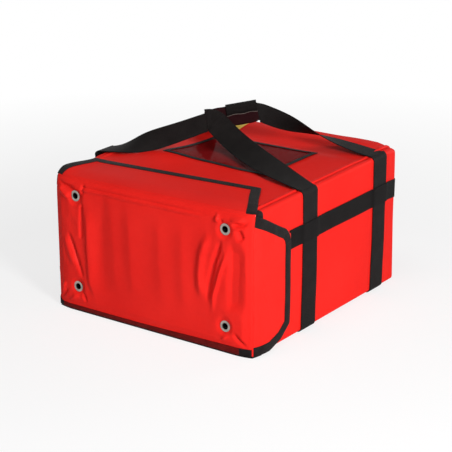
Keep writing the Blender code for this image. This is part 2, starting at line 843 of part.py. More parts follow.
flap_hinge = make_empty("flap_hinge", (0, front_y, flap_axis_height))
top_wing_hinge = make_empty("top_wing_hinge", (0, front_y, wing_top_z), parent=flap_hinge)
right_wing_hinge = make_empty("right_wing_hinge", (wing_half_width, front_y, top_z / 2), parent=flap_hinge)
left_wing_hinge = make_empty("left_wing_hinge", (-wing_half_width, front_y, top_z / 2), parent=flap_hinge)
grip_turning = Matrix.Rotation(grip_turn, 3, "Z") @ Matrix.Rotation(-grip_tilt, 3, "Y")
grip_place = Vector((-grip_left, grip_back, top_z + grip_rise))
grip_frame = make_empty("grip_frame", grip_place, turn=grip_turning)
grip_matrix = Matrix.Translation(grip_place) @ grip_turning.to_4x4()
wrap_flap_hinge = make_empty("wrap_flap_hinge", grip_place, parent=grip_frame)

make_body()
make_straps()
make_band()
make_hinge_tape()
make_top_pieces()
make_crown()
make_flap()
make_eyelets()
make_top_wing()
for wing_side, wing_name, wing_hinge in ((1, "right", right_wing_hinge), (-1, "left", left_wing_hinge)):
    make_side_wing(wing_side, wing_name, wing_hinge)
    make_side_strips(wing_side, wing_name)
make_grip()
for leg_name, ends in leg_ends().items():
    make_leg(leg_name, *ends)
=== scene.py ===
import json
import math

import bmesh
import bpy
import numpy as np
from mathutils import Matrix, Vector


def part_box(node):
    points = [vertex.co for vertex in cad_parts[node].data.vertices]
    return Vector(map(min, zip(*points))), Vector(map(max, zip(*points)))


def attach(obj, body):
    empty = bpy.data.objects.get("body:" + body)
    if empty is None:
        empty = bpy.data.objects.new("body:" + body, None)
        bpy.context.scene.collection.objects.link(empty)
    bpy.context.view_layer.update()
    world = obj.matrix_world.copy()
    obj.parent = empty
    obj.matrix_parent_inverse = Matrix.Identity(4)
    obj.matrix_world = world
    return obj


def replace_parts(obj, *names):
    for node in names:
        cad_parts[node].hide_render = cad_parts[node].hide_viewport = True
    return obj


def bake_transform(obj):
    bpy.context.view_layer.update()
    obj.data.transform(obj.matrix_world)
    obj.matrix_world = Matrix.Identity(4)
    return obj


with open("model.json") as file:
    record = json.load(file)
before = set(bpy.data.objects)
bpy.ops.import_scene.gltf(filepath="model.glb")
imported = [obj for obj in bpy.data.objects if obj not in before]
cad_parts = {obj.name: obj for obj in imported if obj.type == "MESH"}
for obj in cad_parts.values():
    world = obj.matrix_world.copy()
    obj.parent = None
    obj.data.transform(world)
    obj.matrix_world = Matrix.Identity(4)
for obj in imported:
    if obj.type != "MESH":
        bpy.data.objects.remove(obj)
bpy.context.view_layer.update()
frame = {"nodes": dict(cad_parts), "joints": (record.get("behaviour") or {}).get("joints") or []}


def corners(node):
    """The lowest and highest corner of a CAD node."""
    low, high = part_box(node)
    return np.array(low), np.array(high)


def middle(node):
    """The middle of a CAD node's box."""
    return sum(corners(node)) / 2


# The bag's box, as the frame gives it
(_, rim_y, base_z), (half_width, back_y, top_z) = corners("wrap_skin")
front_y = corners("flap_skin")[0][1]
wing_half = corners("right_wing_skin")[1][0]
wing_z = corners("top_wing_skin")[1][2]
depth = back_y - rim_y

# Layers, tapes and radii, in metres
gap = 0.0003
fabric = 0.001
liner = 0.0005
tape = 0.0005
tape_width = 0.015
mouth_tape = 0.012
webbing = 0.0015
webbing_width = 0.04
band = 0.0012
band_width = 0.03
film_thick = 0.0003
frame_thick = 0.0008
frame_width = 0.0075
patch_thick = 0.0008
fold_radius = 0.006
edge_radius = 0.0055
band_radius = 0.006
liner_radius = 0.004
seam_inset = 0.012
weld = 0.0000001

# How the soft body departs from a plain box
rear_lift = 0.011
rear_bulge = 0.007
rear_lean = 0.004
left_bulge = 0.0115
side_swell = 0.0016
corner_pull = 0.004
corner_drop = 0.005
corner_reach = 0.035
edge_draw = 0.0055
edge_reach = 0.036

# The top's form: bumps with their height and their centre and width in x and in y, and what lies behind them
top_bumps = [(0.0085, (-0.11, 0.055), (-0.05, 0.06)), (0.003, (-0.03, 0.09), (-0.04, 0.07))]
crown_rear = 0.0065
crease_depth = 0.002
top_ripple = 0.0009


def smooth(share):
    """From 0 to 1, starting and ending gently."""
    share = np.clip(share, 0, 1)
    return share * share * (3 - 2 * share)


def ramp(value, start, length):
    """A gentle rise from 0, where a value passes a start, to 1 a length further on."""
    return smooth((value - start) / length)


def close(distance, reach):
    """1 at no distance, falling evenly to 0 at the reach."""
    return np.clip(1 - distance / reach, 0, 1)


def bell(value, centre, width):
    """A soft bump of height 1."""
    return np.exp(-(((value - centre) / width) ** 2))


def unit(vectors):
    """The same directions with length 1."""
    return vectors / np.linalg.norm(vectors, axis=-1, keepdims=True)


def waves(a, b, seed, count, coarse, fine):
    """A sum of sine waves of random direction and phase, between -1 and 1, the same on each run."""
    random = np.random.RandomState(seed)
    total = np.zeros_like(a, dtype=float)
    for _ in range(count):
        length = random.uniform(fine, coarse)
        angle = random.uniform(0, math.pi)
        phase = random.uniform(0, 2 * math.pi)
        way = a * math.cos(angle) + b * math.sin(angle)
        total += np.sin(2 * math.pi * way / length + phase)
    return total / count


def crown(x, y):
    """How far the top stands above a flat one."""
    across = 1 - np.clip(np.abs(x) / half_width, 0, 1) ** np.where(x < 0, 4.0, 9.0)
    share = np.clip((y - rim_y) / depth, 0, 1)
    along = ramp(y, -0.115, 0.07) * ramp(1 - share, 0, 0.035)
    rise = sum(height * bell(x, *in_x) * bell(y, *in_y) for height, in_x, in_y in top_bumps)
    rise = rise + crown_rear * ramp(y, 0.135, 0.05)
    rise = rise - crease_depth * bell(y, 0.124 - 0.05 * x, 0.014) * ramp(x, -0.12, 0.1)
    return across * along * (rise + top_ripple * waves(x, y, 4, 7, 0.16, 0.07))


def soften(points):
    """Draws the front edges in, so that they turn gently, and lets the left side stand out."""
    points = np.asarray(points, float)
    x, y, z = points[..., 0], points[..., 1], points[..., 2]
    behind = y - front_y
    near_front = close(behind, edge_reach) ** 2
    near_side = close(wing_half - np.abs(x), edge_reach) ** 2
    near_top = close(wing_z - z, edge_reach) ** 2
    across = np.clip(np.abs(x) / wing_half, 0, 1)
    fade = close(behind, 0.06)
    left = left_bulge * bell(y, -0.045, 0.13) * (0.2 + 0.8 * ramp(z, 0, 0.17)) * ramp(behind, 0.07, 0.06)
    left = np.where(x < 0, left, 0) * across ** (2 + 7 * fade)
    return np.stack([
        x - np.sign(x) * edge_draw * near_front * across**6 - left,
        y + edge_draw * (near_side + 0.8 * near_top) * fade,
        z - edge_draw * 0.8 * near_front * np.clip(z / wing_z, 0, 1) ** 6,
    ], -1)


def warp(points):
    """Bends the plain box into the soft bag: taller at the rear, crowned, and bulged at the left and rear."""
    points = soften(points)
    x, y, z = points[..., 0], points[..., 1], points[..., 2]
    share = np.clip((y - rim_y) / depth, 0, 1.02)
    height = np.clip(z / top_z, 0, 1.03)
    aside = np.clip(np.abs(x) / half_width, 0, 1)
    uneven = 0.6 + 0.7 * waves(y, z, 9, 5, 0.2, 0.1)
    swell = side_swell * np.sin(math.pi * np.clip(z / top_z, 0, 1)) * uneven
    swell = swell * ramp(y, rim_y, 0.05) * smooth((back_y - y) / 0.05)
    pulled = close(half_width - np.abs(x), corner_reach) * close(back_y - y, corner_reach) * height
    upright = np.clip(1 - ((z - 0.12) / 0.13) ** 2, 0, 1)
    back = rear_bulge * (1 - aside**4) * upright + rear_lean * ramp(z, 0.1, 0.1)
    return np.stack([
        x + np.sign(x) * (swell * aside**3 - corner_pull * pulled),
        y + back * share**10 - corner_pull * pulled,
        z + rear_lift * share * height + crown(x, y) * ramp(z, 0.185, top_z - 0.185) - corner_drop * pulled,
    ], -1)


# Meshes

def add_mesh(name, points, faces, uvs=None, material=None):
    """A smooth mesh object from points, faces and a pair of cloth coordinates in metres for each point."""
    mesh = bpy.data.meshes.new(name)
    mesh.from_pydata([tuple(point) for point in points], [], faces)
    if uvs is not None:
        layer = mesh.uv_layers.new(name="cloth")
        order = np.zeros(len(mesh.loops), dtype=int)
        mesh.loops.foreach_get("vertex_index", order)
        layer.data.foreach_set("uv", np.asarray(uvs, float)[order].ravel())
    mesh.shade_smooth()
    piece = bpy.data.objects.new(name, mesh)
    bpy.context.scene.collection.objects.link(piece)
    if material:
        mesh.materials.append(material)
    return piece


def dress(piece, body, replaced=None):
    """Hides the CAD part that a piece stands for, if any, and sets the body it rides on."""
    if replaced:
        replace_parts(piece, replaced)
    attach(piece, body)


def edit(piece, change):
    """Lets a function change a piece's mesh as a bmesh."""
    bm = bmesh.new()
    bm.from_mesh(piece.data)
    change(bm)
    bm.to_mesh(piece.data)
    bm.free()
    return piece


def face_outwards(bm):
    """Turns all faces of a closed body outwards."""
    bmesh.ops.recalc_face_normals(bm, faces=bm.faces)


def close_seams(bm):
    """Welds points that lie on each other, and turns all faces outwards."""
    bmesh.ops.remove_doubles(bm, verts=bm.verts, dist=weld * 10)
    face_outwards(bm)


def lengths(points, axis):
    """Distance run along an axis of a grid of points."""
    steps = np.linalg.norm(np.diff(points, axis=axis), axis=-1)
    start = np.zeros_like(np.take(steps, [0], axis=axis))
    return np.concatenate([start, np.cumsum(steps, axis=axis)], axis=axis)


def cloth_map(points):
    """Cloth coordinates of a grid: the distances run along its columns and along its rows."""
    return np.stack([lengths(points, 1), lengths(points, 0)], -1)


def grid_faces(rows, columns, flip=False, closed=False):
    """Quads of a grid of points, whose columns may close on themselves."""
    faces = []
    for row in range(rows - 1):
        for column in range(columns if closed else columns - 1):
            here, after = row * columns + column, row * columns + (column + 1) % columns
            quad = (here, after, after + columns, here + columns)
            faces.append(quad[::-1] if flip else quad)
    return faces


def panel(name, points, thickness, material, flip=False, closed=False, offset=-1, uvs=None):
    """A sheet from a grid of points on its outer face, thickened inwards, or both ways with an offset of 0."""
    uvs = cloth_map(points) if uvs is None else uvs
    faces = grid_faces(*points.shape[:2], flip, closed)
    piece = add_mesh(name, points.reshape(-1, 3), faces, uvs.reshape(-1, 2), material)
    wall = piece.modifiers.new("wall", "SOLIDIFY")
    wall.thickness = thickness
    wall.offset = offset
    return piece


def tube(name, rings, line, spread, material):
    """A closed body from rings along a line, with flat ends. spread is each point's place across."""
    count, around = rings.shape[:2]
    faces = grid_faces(count, around, closed=True)
    faces += [list(range(around))[::-1], list(range((count - 1) * around, count * around))]
    uvs = np.stack(np.broadcast_arrays(lengths(line[:, None], 0), spread), -1).reshape(-1, 2)
    piece = add_mesh(name, rings.reshape(-1, 3), faces, uvs, material)
    piece.data.set_sharp_from_angle(angle=math.radians(50))
    return piece


def ribbon(name, centres, across, normals, width, thickness, material, shape=None, columns=9):
    """Flat webbing along a path: its centre line, the direction across it and its outward normal."""
    centres = np.asarray(centres, float)
    across, normals = (np.broadcast_to(np.asarray(one, float), centres.shape) for one in (across, normals))
    width = np.ones(len(centres)) * width
    shares = np.linspace(-0.5, 0.5, columns)
    profile = [(share, 1) for share in shares] + [(0.5, 0)]
    profile += [(share, -1) for share in shares[::-1]] + [(-0.5, 0)]
    rings = []
    for share, face in profile:
        inset = 1 - thickness / 2 / width if face and abs(share) == 0.5 else 1
        rings.append(centres + across * (width * share * inset)[:, None] + normals * (thickness / 2 * face))
    rings = np.stack(rings, axis=1)
    spread = np.array([share for share, _ in profile]) * width[:, None]
    return tube(name, shape(rings) if shape else rings, centres, spread, material)


def soft_box(name, low, high, radius, pitch, material, body, replaced):
    """A box with round edges, bent with the bag: pads, strips and films."""
    low, high = np.array(low, float), np.array(high, float)
    radius = min(radius, float((high - low).min()) * 0.49)
    ends = np.array([0.0, 0.3, 0.65]) * radius
    lines = []
    for start, finish in zip(low, high):
        steps = max(int(math.ceil((finish - start - 2 * radius) / pitch)), 1)
        inner = np.linspace(start + radius, finish - radius, steps + 1)
        lines.append(np.concatenate([start + ends, inner, (finish - ends)[::-1]]))
    points, faces = [], []
    for axis in range(3):
        others = [one for one in range(3) if one != axis]
        grid = np.meshgrid(lines[others[0]], lines[others[1]], indexing="ij")
        for end, level in enumerate((low[axis], high[axis])):
            block = np.zeros(grid[0].shape + (3,))
            block[..., others[0]], block[..., others[1]], block[..., axis] = *grid, level
            flip = (end == 0) != (axis == 1)
            faces += [[len(points) + one for one in quad] for quad in grid_faces(*grid[0].shape, flip)]
            points += list(block.reshape(-1, 3))
    points = np.array(points)
    heart = np.clip(points, low + radius, high - radius)
    away = points - heart
    far = np.linalg.norm(away, axis=1, keepdims=True)
    rounded = heart + away / np.maximum(far, weld) * np.minimum(far, radius)
    piece = add_mesh(name, warp(rounded), faces, rounded[:, :2], material)
    dress(edit(piece, close_seams), body, replaced)


# Materials

class Nodes:
    """A node tree with short ways to add to it."""

    def __init__(self, tree):
        self.tree = tree

    def feed(self, target, sockets):
        """Sets sockets to a value, or links another node's output to them."""
        for key, value in sockets.items():
            if isinstance(value, bpy.types.NodeSocket):
                self.tree.links.new(value, target.inputs[key])
            else:
                target.inputs[key].default_value = value

    def add(self, kind, sockets, output=0, **settings):
        """A new node's output."""
        made = self.tree.nodes.new(kind)
        for key, value in settings.items():
            setattr(made, key, value)
        self.feed(made, sockets)
        return made.outputs[output]

    def math(self, operation, first, second):
        """Two values joined by an arithmetic operation."""
        return self.add("ShaderNodeMath", {0: first, 1: second}, operation=operation)

    def seen(self):
        """1 where the camera, a reflection or a clear piece looks at a surface, 0 where it only lights."""
        rays = self.tree.nodes.new("ShaderNodeLightPath").outputs
        seen = self.math("MAXIMUM", rays["Is Camera Ray"], rays["Is Glossy Ray"])
        return self.math("MAXIMUM", seen, rays["Is Transmission Ray"])


class Surface(Nodes):
    """A Principled material, textured by the object's own coordinates or by its cloth map in metres."""

    def __init__(self, name, cloth=False):
        self.made = bpy.data.materials.new(name)
        self.made.use_nodes = True
        super().__init__(self.made.node_tree)
        self.shader = self.tree.nodes["Principled BSDF"]
        if cloth:
            self.where = self.add("ShaderNodeUVMap", {}, "UV", uv_map="cloth")
        else:
            self.where = self.add("ShaderNodeTexCoord", {}, "Object")

    def noise(self, scale, detail=4.0, roughness=0.55):
        """A noise texture's value."""
        sockets = {"Vector": self.where, "Scale": scale, "Detail": detail, "Roughness": roughness}
        return self.add("ShaderNodeTexNoise", sockets, "Fac")

    def bands(self, scale, direction="X", distortion=0.0):
        """A wave texture's value: bands across a direction."""
        sockets = {"Vector": self.where, "Scale": scale, "Distortion": distortion}
        return self.add("ShaderNodeTexWave", sockets, "Fac", wave_type="BANDS", bands_direction=direction)

    def ribs(self, pitch, direction, distortion):
        """Bands with a pitch in metres."""
        return self.bands(2 * math.pi / (20 * pitch), direction, distortion)

    def weave(self, scale, distortion=0.0, directions="XZY"):
        """Bands across several directions, added up."""
        total = self.bands(scale, directions[0], distortion)
        for direction in directions[1:]:
            total = self.math("ADD", total, self.bands(scale, direction, distortion))
        return total

    def cells(self, scale, feature="F1"):
        """The distance to the nearest, or next nearest, of scattered points."""
        sockets = {"Vector": self.where, "Scale": scale}
        return self.add("ShaderNodeTexVoronoi", sockets, "Distance", feature=feature)

    def mixed(self, first, second, share):
        """The sum of two values by their shares."""
        return self.math("ADD", self.math("MULTIPLY", first, share), self.math("MULTIPLY", second, 1 - share))

    def colour(self, share, dark, light):
        """A colour between two, by a value."""
        ramp_node = self.tree.nodes.new("ShaderNodeValToRGB")
        for stop, place, colour in zip(ramp_node.color_ramp.elements, (0.3, 0.7), (dark, light)):
            stop.position = place
            stop.color = (*colour, 1)
        self.feed(ramp_node, {"Fac": share})
        return ramp_node.outputs["Color"]

    def spread(self, value, low, high):
        """A value between 0 and 1 spread between two others."""
        return self.add("ShaderNodeMapRange", {"Value": value, "To Min": low, "To Max": high})

    def finish(self, sockets, layers):
        """Sets the shader and stacks bump layers: each a height value, a strength and a depth in metres."""
        normal = {}
        for height, strength, distance in layers:
            bump = {"Height": height, "Strength": strength, "Distance": distance, **normal}
            normal = {"Normal": self.add("ShaderNodeBump", bump)}
        self.feed(self.shader, {**sockets, **normal})
        return self.made


def coat(weight, roughness):
    """The sockets of a thin hard gloss on a surface."""
    return {"Coat Weight": weight, "Coat IOR": 2.5, "Coat Roughness": roughness}


def coated_fabric(name, dark, light):
    """Polyester with a thin plastic coat: fine weave, soft gloss, slight unevenness of colour."""
    cloth = Surface(name)
    shade = cloth.mixed(cloth.noise(9.0, 5.0), cloth.noise(160.0, 3.0), 0.75)
    layers = [
        (cloth.noise(14.0, 3.0, 0.5), 0.35, 0.0012), (cloth.noise(48.0, 6.0, 0.62), 0.3, 0.00045),
        (cloth.weave(330.0, 0.6), 0.25, 0.00006),
    ]
    rough = cloth.spread(cloth.noise(35.0), 0.33, 0.5)
    return cloth.finish({
        "Base Color": cloth.colour(shade, dark, light), "Roughness": rough, "Specular IOR Level": 0.004,
        **coat(0.04, 0.36)
    }, layers)


def webbing_cloth(name, dark, light, pitch=0.0017, roughness=0.62, weft=0.0012):
    """Woven webbing: slanting twill ribs along the cloth map, with finer weft lines and a slight sheen."""
    cloth = Surface(name, cloth=True)
    twill = cloth.bands(2 * math.pi / (20 * pitch) * math.sqrt(2), "DIAGONAL", 0.15)
    shade = cloth.mixed(twill, cloth.noise(40.0), 0.5)
    layers = [
        (twill, 0.6, 0.0003), (cloth.ribs(weft, "X", 0.2), 0.35, 0.00012),
        (cloth.noise(900.0, 2.0), 0.2, 0.0001),
    ]
    return cloth.finish({
        "Base Color": cloth.colour(shade, dark, light), "Specular IOR Level": 0.04,
        "Roughness": cloth.spread(twill, roughness + 0.12, roughness - 0.1)
    }, layers)


def tape_cloth(name, dark, light, ends=None, plain=None):
    """Grosgrain tape: fine ribs across its length. Beyond its ends, in x, it may have a plain colour."""
    cloth = Surface(name, cloth=True)
    colour = cloth.colour(cloth.noise(60.0), dark, light)
    if ends:
        across = cloth.add("ShaderNodeSeparateXYZ", {0: cloth.add("ShaderNodeTexCoord", {}, "Object")}, "X")
        before = cloth.math("LESS_THAN", across, ends[0])
        beyond = cloth.math("ADD", before, cloth.math("GREATER_THAN", across, ends[1]))
        mix = cloth.tree.nodes.new("ShaderNodeMix")
        mix.data_type = "RGBA"
        cloth.feed(mix, {"Factor": beyond})
        slots = [one for one in mix.inputs if one.type == "RGBA"]
        cloth.tree.links.new(colour, slots[0])
        slots[1].default_value = (*plain, 1)
        colour = next(one for one in mix.outputs if one.type == "RGBA")
    layers = [(cloth.ribs(0.0009, "X", 0.1), 0.6, 0.0002), (cloth.ribs(0.0006, "Y", 0.3), 0.3, 0.0001)]
    return cloth.finish({"Base Color": colour, "Roughness": 0.58, "Specular IOR Level": 0.05}, layers)


def fuzzy_tape(name, dark, light, grain):
    """Hook or loop tape: a mat of tiny hooks or loops."""
    mat = Surface(name)
    cells = mat.cells(grain)
    return mat.finish({
        "Base Color": mat.colour(cells, light, dark), "Roughness": 0.95, "Sheen Weight": 0.3
    }, [(cells, 0.9, 0.0006), (mat.noise(1500.0), 0.5, 0.0002)])


def foam_skin(name, dark, light):
    """Closed-cell foam: pale, matt and finely pitted."""
    skin = Surface(name)
    colour = skin.colour(skin.noise(60.0), dark, light)
    return skin.finish({"Base Color": colour, "Roughness": 0.9}, [(skin.cells(700.0), 0.5, 0.0003)])


def foil_skin(name, dark, light):
    """Aluminium foil on a woven backing: bright, with crinkles and a faint scrim."""
    skin = Surface(name)
    crinkle = skin.noise(70.0, 8.0, 0.7)
    layers = [
        (skin.cells(55.0, "F2"), 0.55, 0.0022), (crinkle, 0.5, 0.0009),
        (skin.weave(110.0, 0.0, "XYZ"), 0.2, 0.0001),
    ]
    return skin.finish({
        "Base Color": skin.colour(skin.noise(30.0), dark, light), "Metallic": 0.9,
        "Roughness": skin.spread(crinkle, 0.22, 0.42)
    }, layers)


def nickel_metal(name, dark, light):
    """Nickel plate with light scuffs."""
    metal = Surface(name)
    scuffs = metal.noise(420.0, 5.0, 0.6)
    return metal.finish({
        "Base Color": metal.colour(metal.noise(150.0), dark, light), "Metallic": 1.0,
        "Roughness": metal.spread(scuffs, 0.16, 0.34)
    }, [(scuffs, 0.15, 0.0001)])


def clear_film(name, dark, light):
    """Clear soft plastic, faintly smoky, with shallow ripples."""
    sheet = Surface(name)
    return sheet.finish({
        "Base Color": sheet.colour(sheet.noise(20.0), dark, light), "Roughness": 0.07, "Alpha": 0.36,
        "Specular IOR Level": 0.002, **coat(0.03, 0.07)
    }, [(sheet.noise(26.0, 3.0), 0.3, 0.0016), (sheet.noise(110.0, 3.0), 0.15, 0.0004)])


def patch_cloth(name, dark, light):
    """A plain woven patch with a fine even weave."""
    cloth = Surface(name)
    colour = cloth.colour(cloth.noise(90.0), dark, light)
    layers = [(cloth.weave(300.0, 0.3, "XY"), 0.5, 0.00015)]
    return cloth.finish({"Base Color": colour, "Roughness": 0.68}, layers)


red = coated_fabric("red_coated_fabric", (0.7, 0.0125, 0.009), (0.78, 0.018, 0.0125))
black_webbing = webbing_cloth("black_webbing_twill", (0.0035, 0.003, 0.003), (0.017, 0.015, 0.0145))
black_band = webbing_cloth("black_band_weave", (0.004, 0.0035, 0.0035), (0.012, 0.0105, 0.0105), 0.0012, 0.7)
black_tape = tape_cloth("black_binding_tape", (0.009, 0.007, 0.007), (0.018, 0.015, 0.0145))
grip_cloth = webbing_cloth("black_grip_cloth", (0.005, 0.0045, 0.0045), (0.013, 0.0115, 0.011), 0.001, 0.75)
# The grip sleeve's cloth is black webbing; its dark red tint is painted red bounce light from the red top on
# its shaded faces.
sleeve_cloth = webbing_cloth(
    "sleeve_cloth_painted_red_bounce", (0.012, 0.003, 0.004), (0.024, 0.006, 0.007), 0.001, 0.8
)
# This pale colour is a painted edge highlight along the grip lip's hem.
painted_edge_highlight = tape_cloth("pale_painted_edge_highlight", (0.1, 0.08, 0.07), (0.2, 0.17, 0.15))
loops = fuzzy_tape("loop_tape", (0.006, 0.006, 0.006), (0.03, 0.03, 0.03), 900.0)
hooks = fuzzy_tape("hook_tape", (0.006, 0.006, 0.006), (0.024, 0.024, 0.024), 650.0)
foam = foam_skin("pale_foam", (0.66, 0.67, 0.65), (0.78, 0.79, 0.77))
foil = foil_skin("crinkled_foil", (0.62, 0.63, 0.65), (0.8, 0.81, 0.82))
# The foot tape is black: its dark maroon middle is painted shade with red bounce light, and only beyond its
# ends in x is it plain black.
foot_cloth = tape_cloth(
    "foot_tape_painted_red_shade", (0.085, 0.004, 0.004), (0.14, 0.008, 0.007),
    ends=(-0.178, 0.168), plain=(0.009, 0.008, 0.008)
)
nickel = nickel_metal("scuffed_nickel", (0.24, 0.21, 0.19), (0.44, 0.4, 0.36))
film = clear_film("window_plastic", (0.06, 0.003, 0.005), (0.1, 0.006, 0.01))
patch = patch_cloth("plain_patch_cloth", (0.72, 0.47, 0.05), (0.86, 0.62, 0.1))


# The body

def section(half, low, high, radius, corner_steps=5, pitch=0.004, turn_over=0.0):
    """Points and outward normals round the bag's section: down the left, along the bottom, up the right."""
    points, normals = [[-half + turn_over, high]], [(0, 1)]

    def straight(start, finish, normal):
        steps = max(int(round(math.dist(start, finish) / pitch)), 1)
        for step in range(1, steps):
            points.append([a + (b - a) * step / steps for a, b in zip(start, finish)])
            normals.append(normal)

    def corner(centre, start):
        for step in range(corner_steps + 1):
            angle = start + math.pi / 2 * step / corner_steps
            normals.append((math.cos(angle), math.sin(angle)))
            points.append([place + radius * way for place, way in zip(centre, normals[-1])])

    side, foot, brow = half - radius, low + radius, high - radius
    straight((-half + turn_over, high), (-side, high), (0, 1))
    corner((-side, brow), math.pi / 2)
    straight((-half, brow), (-half, foot), (-1, 0))
    corner((-side, foot), math.pi)
    straight((-side, low), (side, low), (0, -1))
    corner((side, foot), -math.pi / 2)
    straight((half, foot), (half, brow), (1, 0))
    corner((side, brow), 0)
    straight((side, high), (half - turn_over, high), (0, 1))
    points.append([half - turn_over, high])
    normals.append((0, 1))
    return np.array(points), np.array(normals)


def stand(ring, y):
    """Points or directions in the bag's section, given as x and z, at a place along its depth."""
    return np.stack([ring[:, 0], np.full(len(ring), y), ring[:, 1]], -1)


def make_skins():
    """The wrap round the bottom and both sides, the top and the rear."""
    outline, normals = section(half_width, base_z, top_z, edge_radius, turn_over=seam_inset)
    rows = [(y, 0.0) for y in np.arange(rim_y, back_y - edge_radius, 0.0035)]
    for angle in np.linspace(0, math.pi / 4, 5):
        inset = edge_radius * (1 - math.cos(angle))
        rows.append((back_y - edge_radius + edge_radius * math.sin(angle), inset))
    groove = 0.0009 * bell(np.abs(outline[:, 0]), half_width - seam_inset, 0.0014)
    groove = groove * (outline[:, 1] > top_z - gap)
    points = warp(np.array([stand(outline - normals * (inset + groove)[:, None], y) for y, inset in rows]))
    dress(panel("wrap_cover", points, fabric, red, flip=True), "bag", "wrap_skin")

    half = half_width - seam_inset
    x = np.concatenate([
        [-half], np.linspace(-half + 0.0012, -half + 0.008, 6), np.linspace(-half + 0.011, half - 0.011, 88),
        np.linspace(half - 0.008, half - 0.0012, 6), [half]
    ])
    welt = 0.0019 * bell(np.abs(x), half - 0.0032, 0.0026) - 0.0012 * bell(np.abs(x), half, 0.001)
    points = warp(np.array([stand(np.stack([x, top_z - inset + welt - 0.0001], -1), y) for y, inset in rows]))
    dress(panel("top_cover", points, fabric, red), "bag", "top_skin")

    reach = half_width - edge_radius
    roll = edge_radius * math.sin(math.pi / 4)
    low, high = base_z + edge_radius, top_z - edge_radius

    def rolled_line(start, finish, count):
        """Places along a line that goes on over the rounded edge at both ends."""
        return np.concatenate([
            [start - roll, start - roll / 2], np.linspace(start, finish, count),
            [finish + roll / 2, finish + roll]
        ])

    wide, tall = np.meshgrid(rolled_line(-reach, reach, 96), rolled_line(low, high, 54))
    over = [np.clip(one, 0, roll) for one in (np.abs(wide) - reach, low - tall, tall - high)]
    fall = sum(edge_radius - np.sqrt(edge_radius**2 - one**2) for one in over)
    rear = warp(np.stack([wide, back_y - fall, tall], -1))
    dress(panel("rear_cover", rear, fabric, red, flip=True), "bag", "rear_skin")


def make_pads():
    """The five foam boards, round at their edges, which take the bag's bulges."""
    for name in ("bottom", "top", "left", "right", "rear"):
        low, high = corners(name + "_board")
        high[2] = min(high[2], top_z - fabric - gap)
        low[1] = max(low[1], rim_y + edge_draw)
        soft_box(name + "_pad", low, high, 0.0045, 0.009, foam, "bag", name + "_board")


def make_liner():
    """The foil lining: a crinkled box, open at the front."""
    low, high = corners("foil_lining")
    deep = high[1]
    outline, normals = section(high[0], low[2], high[2], liner_radius, corner_steps=3, pitch=0.006)
    outline, normals = outline[:-1], normals[:-1]
    rows = [(y, 0.0) for y in np.arange(low[1], deep - liner_radius, 0.006)]
    for angle in (0, 0.5, 1.1):
        inset = liner_radius * (1 - math.cos(angle))
        rows.append((deep - liner_radius + liner_radius * math.sin(angle), inset))
    points = [stand(outline - normals * inset, y) for y, inset in rows]
    inwards = [stand(-normals, 0.0)] * len(rows)
    back = outline - normals * liner_radius
    heart = np.array([0, (low[2] + high[2]) / 2])
    for share in np.linspace(0.04, 1, 18):
        points.append(stand(back + (heart - back) * share, deep))
        inwards.append(np.tile([0.0, -1.0, 0.0], (len(back), 1)))
    points, inwards = np.array(points), np.array(inwards)
    a = points[..., 0] + points[..., 2] * 0.6
    b = points[..., 1] + points[..., 2] * 0.8
    creases = 1 - np.abs(waves(a, b, 21, 3, 0.06, 0.03)) * 1.6
    crinkle = 0.0022 * np.clip(creases, 0, 1) ** 2 + 0.0008 * np.abs(waves(a, b, 22, 5, 0.03, 0.012))
    crinkle = crinkle * ramp(points[..., 1], low[1] + mouth_tape, 0.02)
    points = warp(points + inwards * crinkle[..., None])
    dress(panel("foil_liner", points, liner, foil, flip=True, closed=True), "bag", "foil_lining")


def make_mouth_tape():
    """Tape folded over the whole rim of the mouth."""
    outer = gap + tape
    outline, normals = section(half_width, base_z, top_z, edge_radius, corner_steps=4, pitch=0.008)
    outline, normals = outline[:-1], normals[:-1]
    lining_low, lining_high = corners("foil_lining")
    wall = 0.0006
    near = 0.003
    inner = np.clip(
        outline, [wall - lining_high[0], lining_low[2] + wall], [lining_high[0] - wall, lining_high[2] - wall]
    )
    toward = unit(inner - outline)
    outer_runs = (mouth_tape, 0.0095, 0.007, 0.0045, 0.0025, 0.001)
    stations = [(outline + normals * outer, run) for run in outer_runs]
    stations += [
        (outline + normals * (outer - 0.0004), 0.0), (outline + toward * 0.0006, -outer),
        (outline + toward * near, -outer),
        (inner - toward * near, -outer), (inner, -outer), (inner + toward * (outer - 0.0003), 0.0),
    ]
    stations += [(inner + toward * outer, run) for run in (0.001, 0.006, mouth_tape)]
    points = warp(np.array([stand(ring, rim_y + shift) for ring, shift in stations]))
    dress(panel("mouth_tape", points, tape, black_tape, closed=True), "bag", "mouth_binding")


def make_hinge_tape():
    """The tape on which the flap turns, between the bag and the flap."""
    low, high = corners("hinge_tape")
    y = np.linspace(low[1], high[1], 18)
    centres = np.stack([np.zeros(18), y, np.full(18, (low[2] + high[2]) / 2)], -1)
    piece = ribbon(
        "flap_hinge_tape", centres, (1, 0, 0), (0, 0, 1), high[0] - low[0], high[2] - low[2],
        black_tape, soften, columns=40
    )
    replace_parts(piece, "hinge_tape")
    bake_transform(piece)


# Degrees that the webbing has turned over the top's edge where its leg leaves it
turns_over = {("front", 1): 73, ("front", -1): 83, ("rear", 1): 84, ("rear", -1): 84}

# How far webbing stands off in x and z near the top's edges
loose_ends = {("front", -1): (-0.0125, 0.0005), ("rear", -1): (-0.007, -0.002)}


def loosen(points, strap):
    """Bends webbing with the bag, and lets its ends stand off or sit low near the top edges."""
    points = np.asarray(points, float)
    shaped = warp(points)
    for side in (-1, 1):
        aside, down = loose_ends.get((strap, side), (0.0, 0.0))
        share = np.where(points[..., 0] * side > 0, ramp(points[..., 2], 0.172, 0.049), 0)
        shaped[..., 0] += aside * share
        shaped[..., 2] += down * share
    return shaped


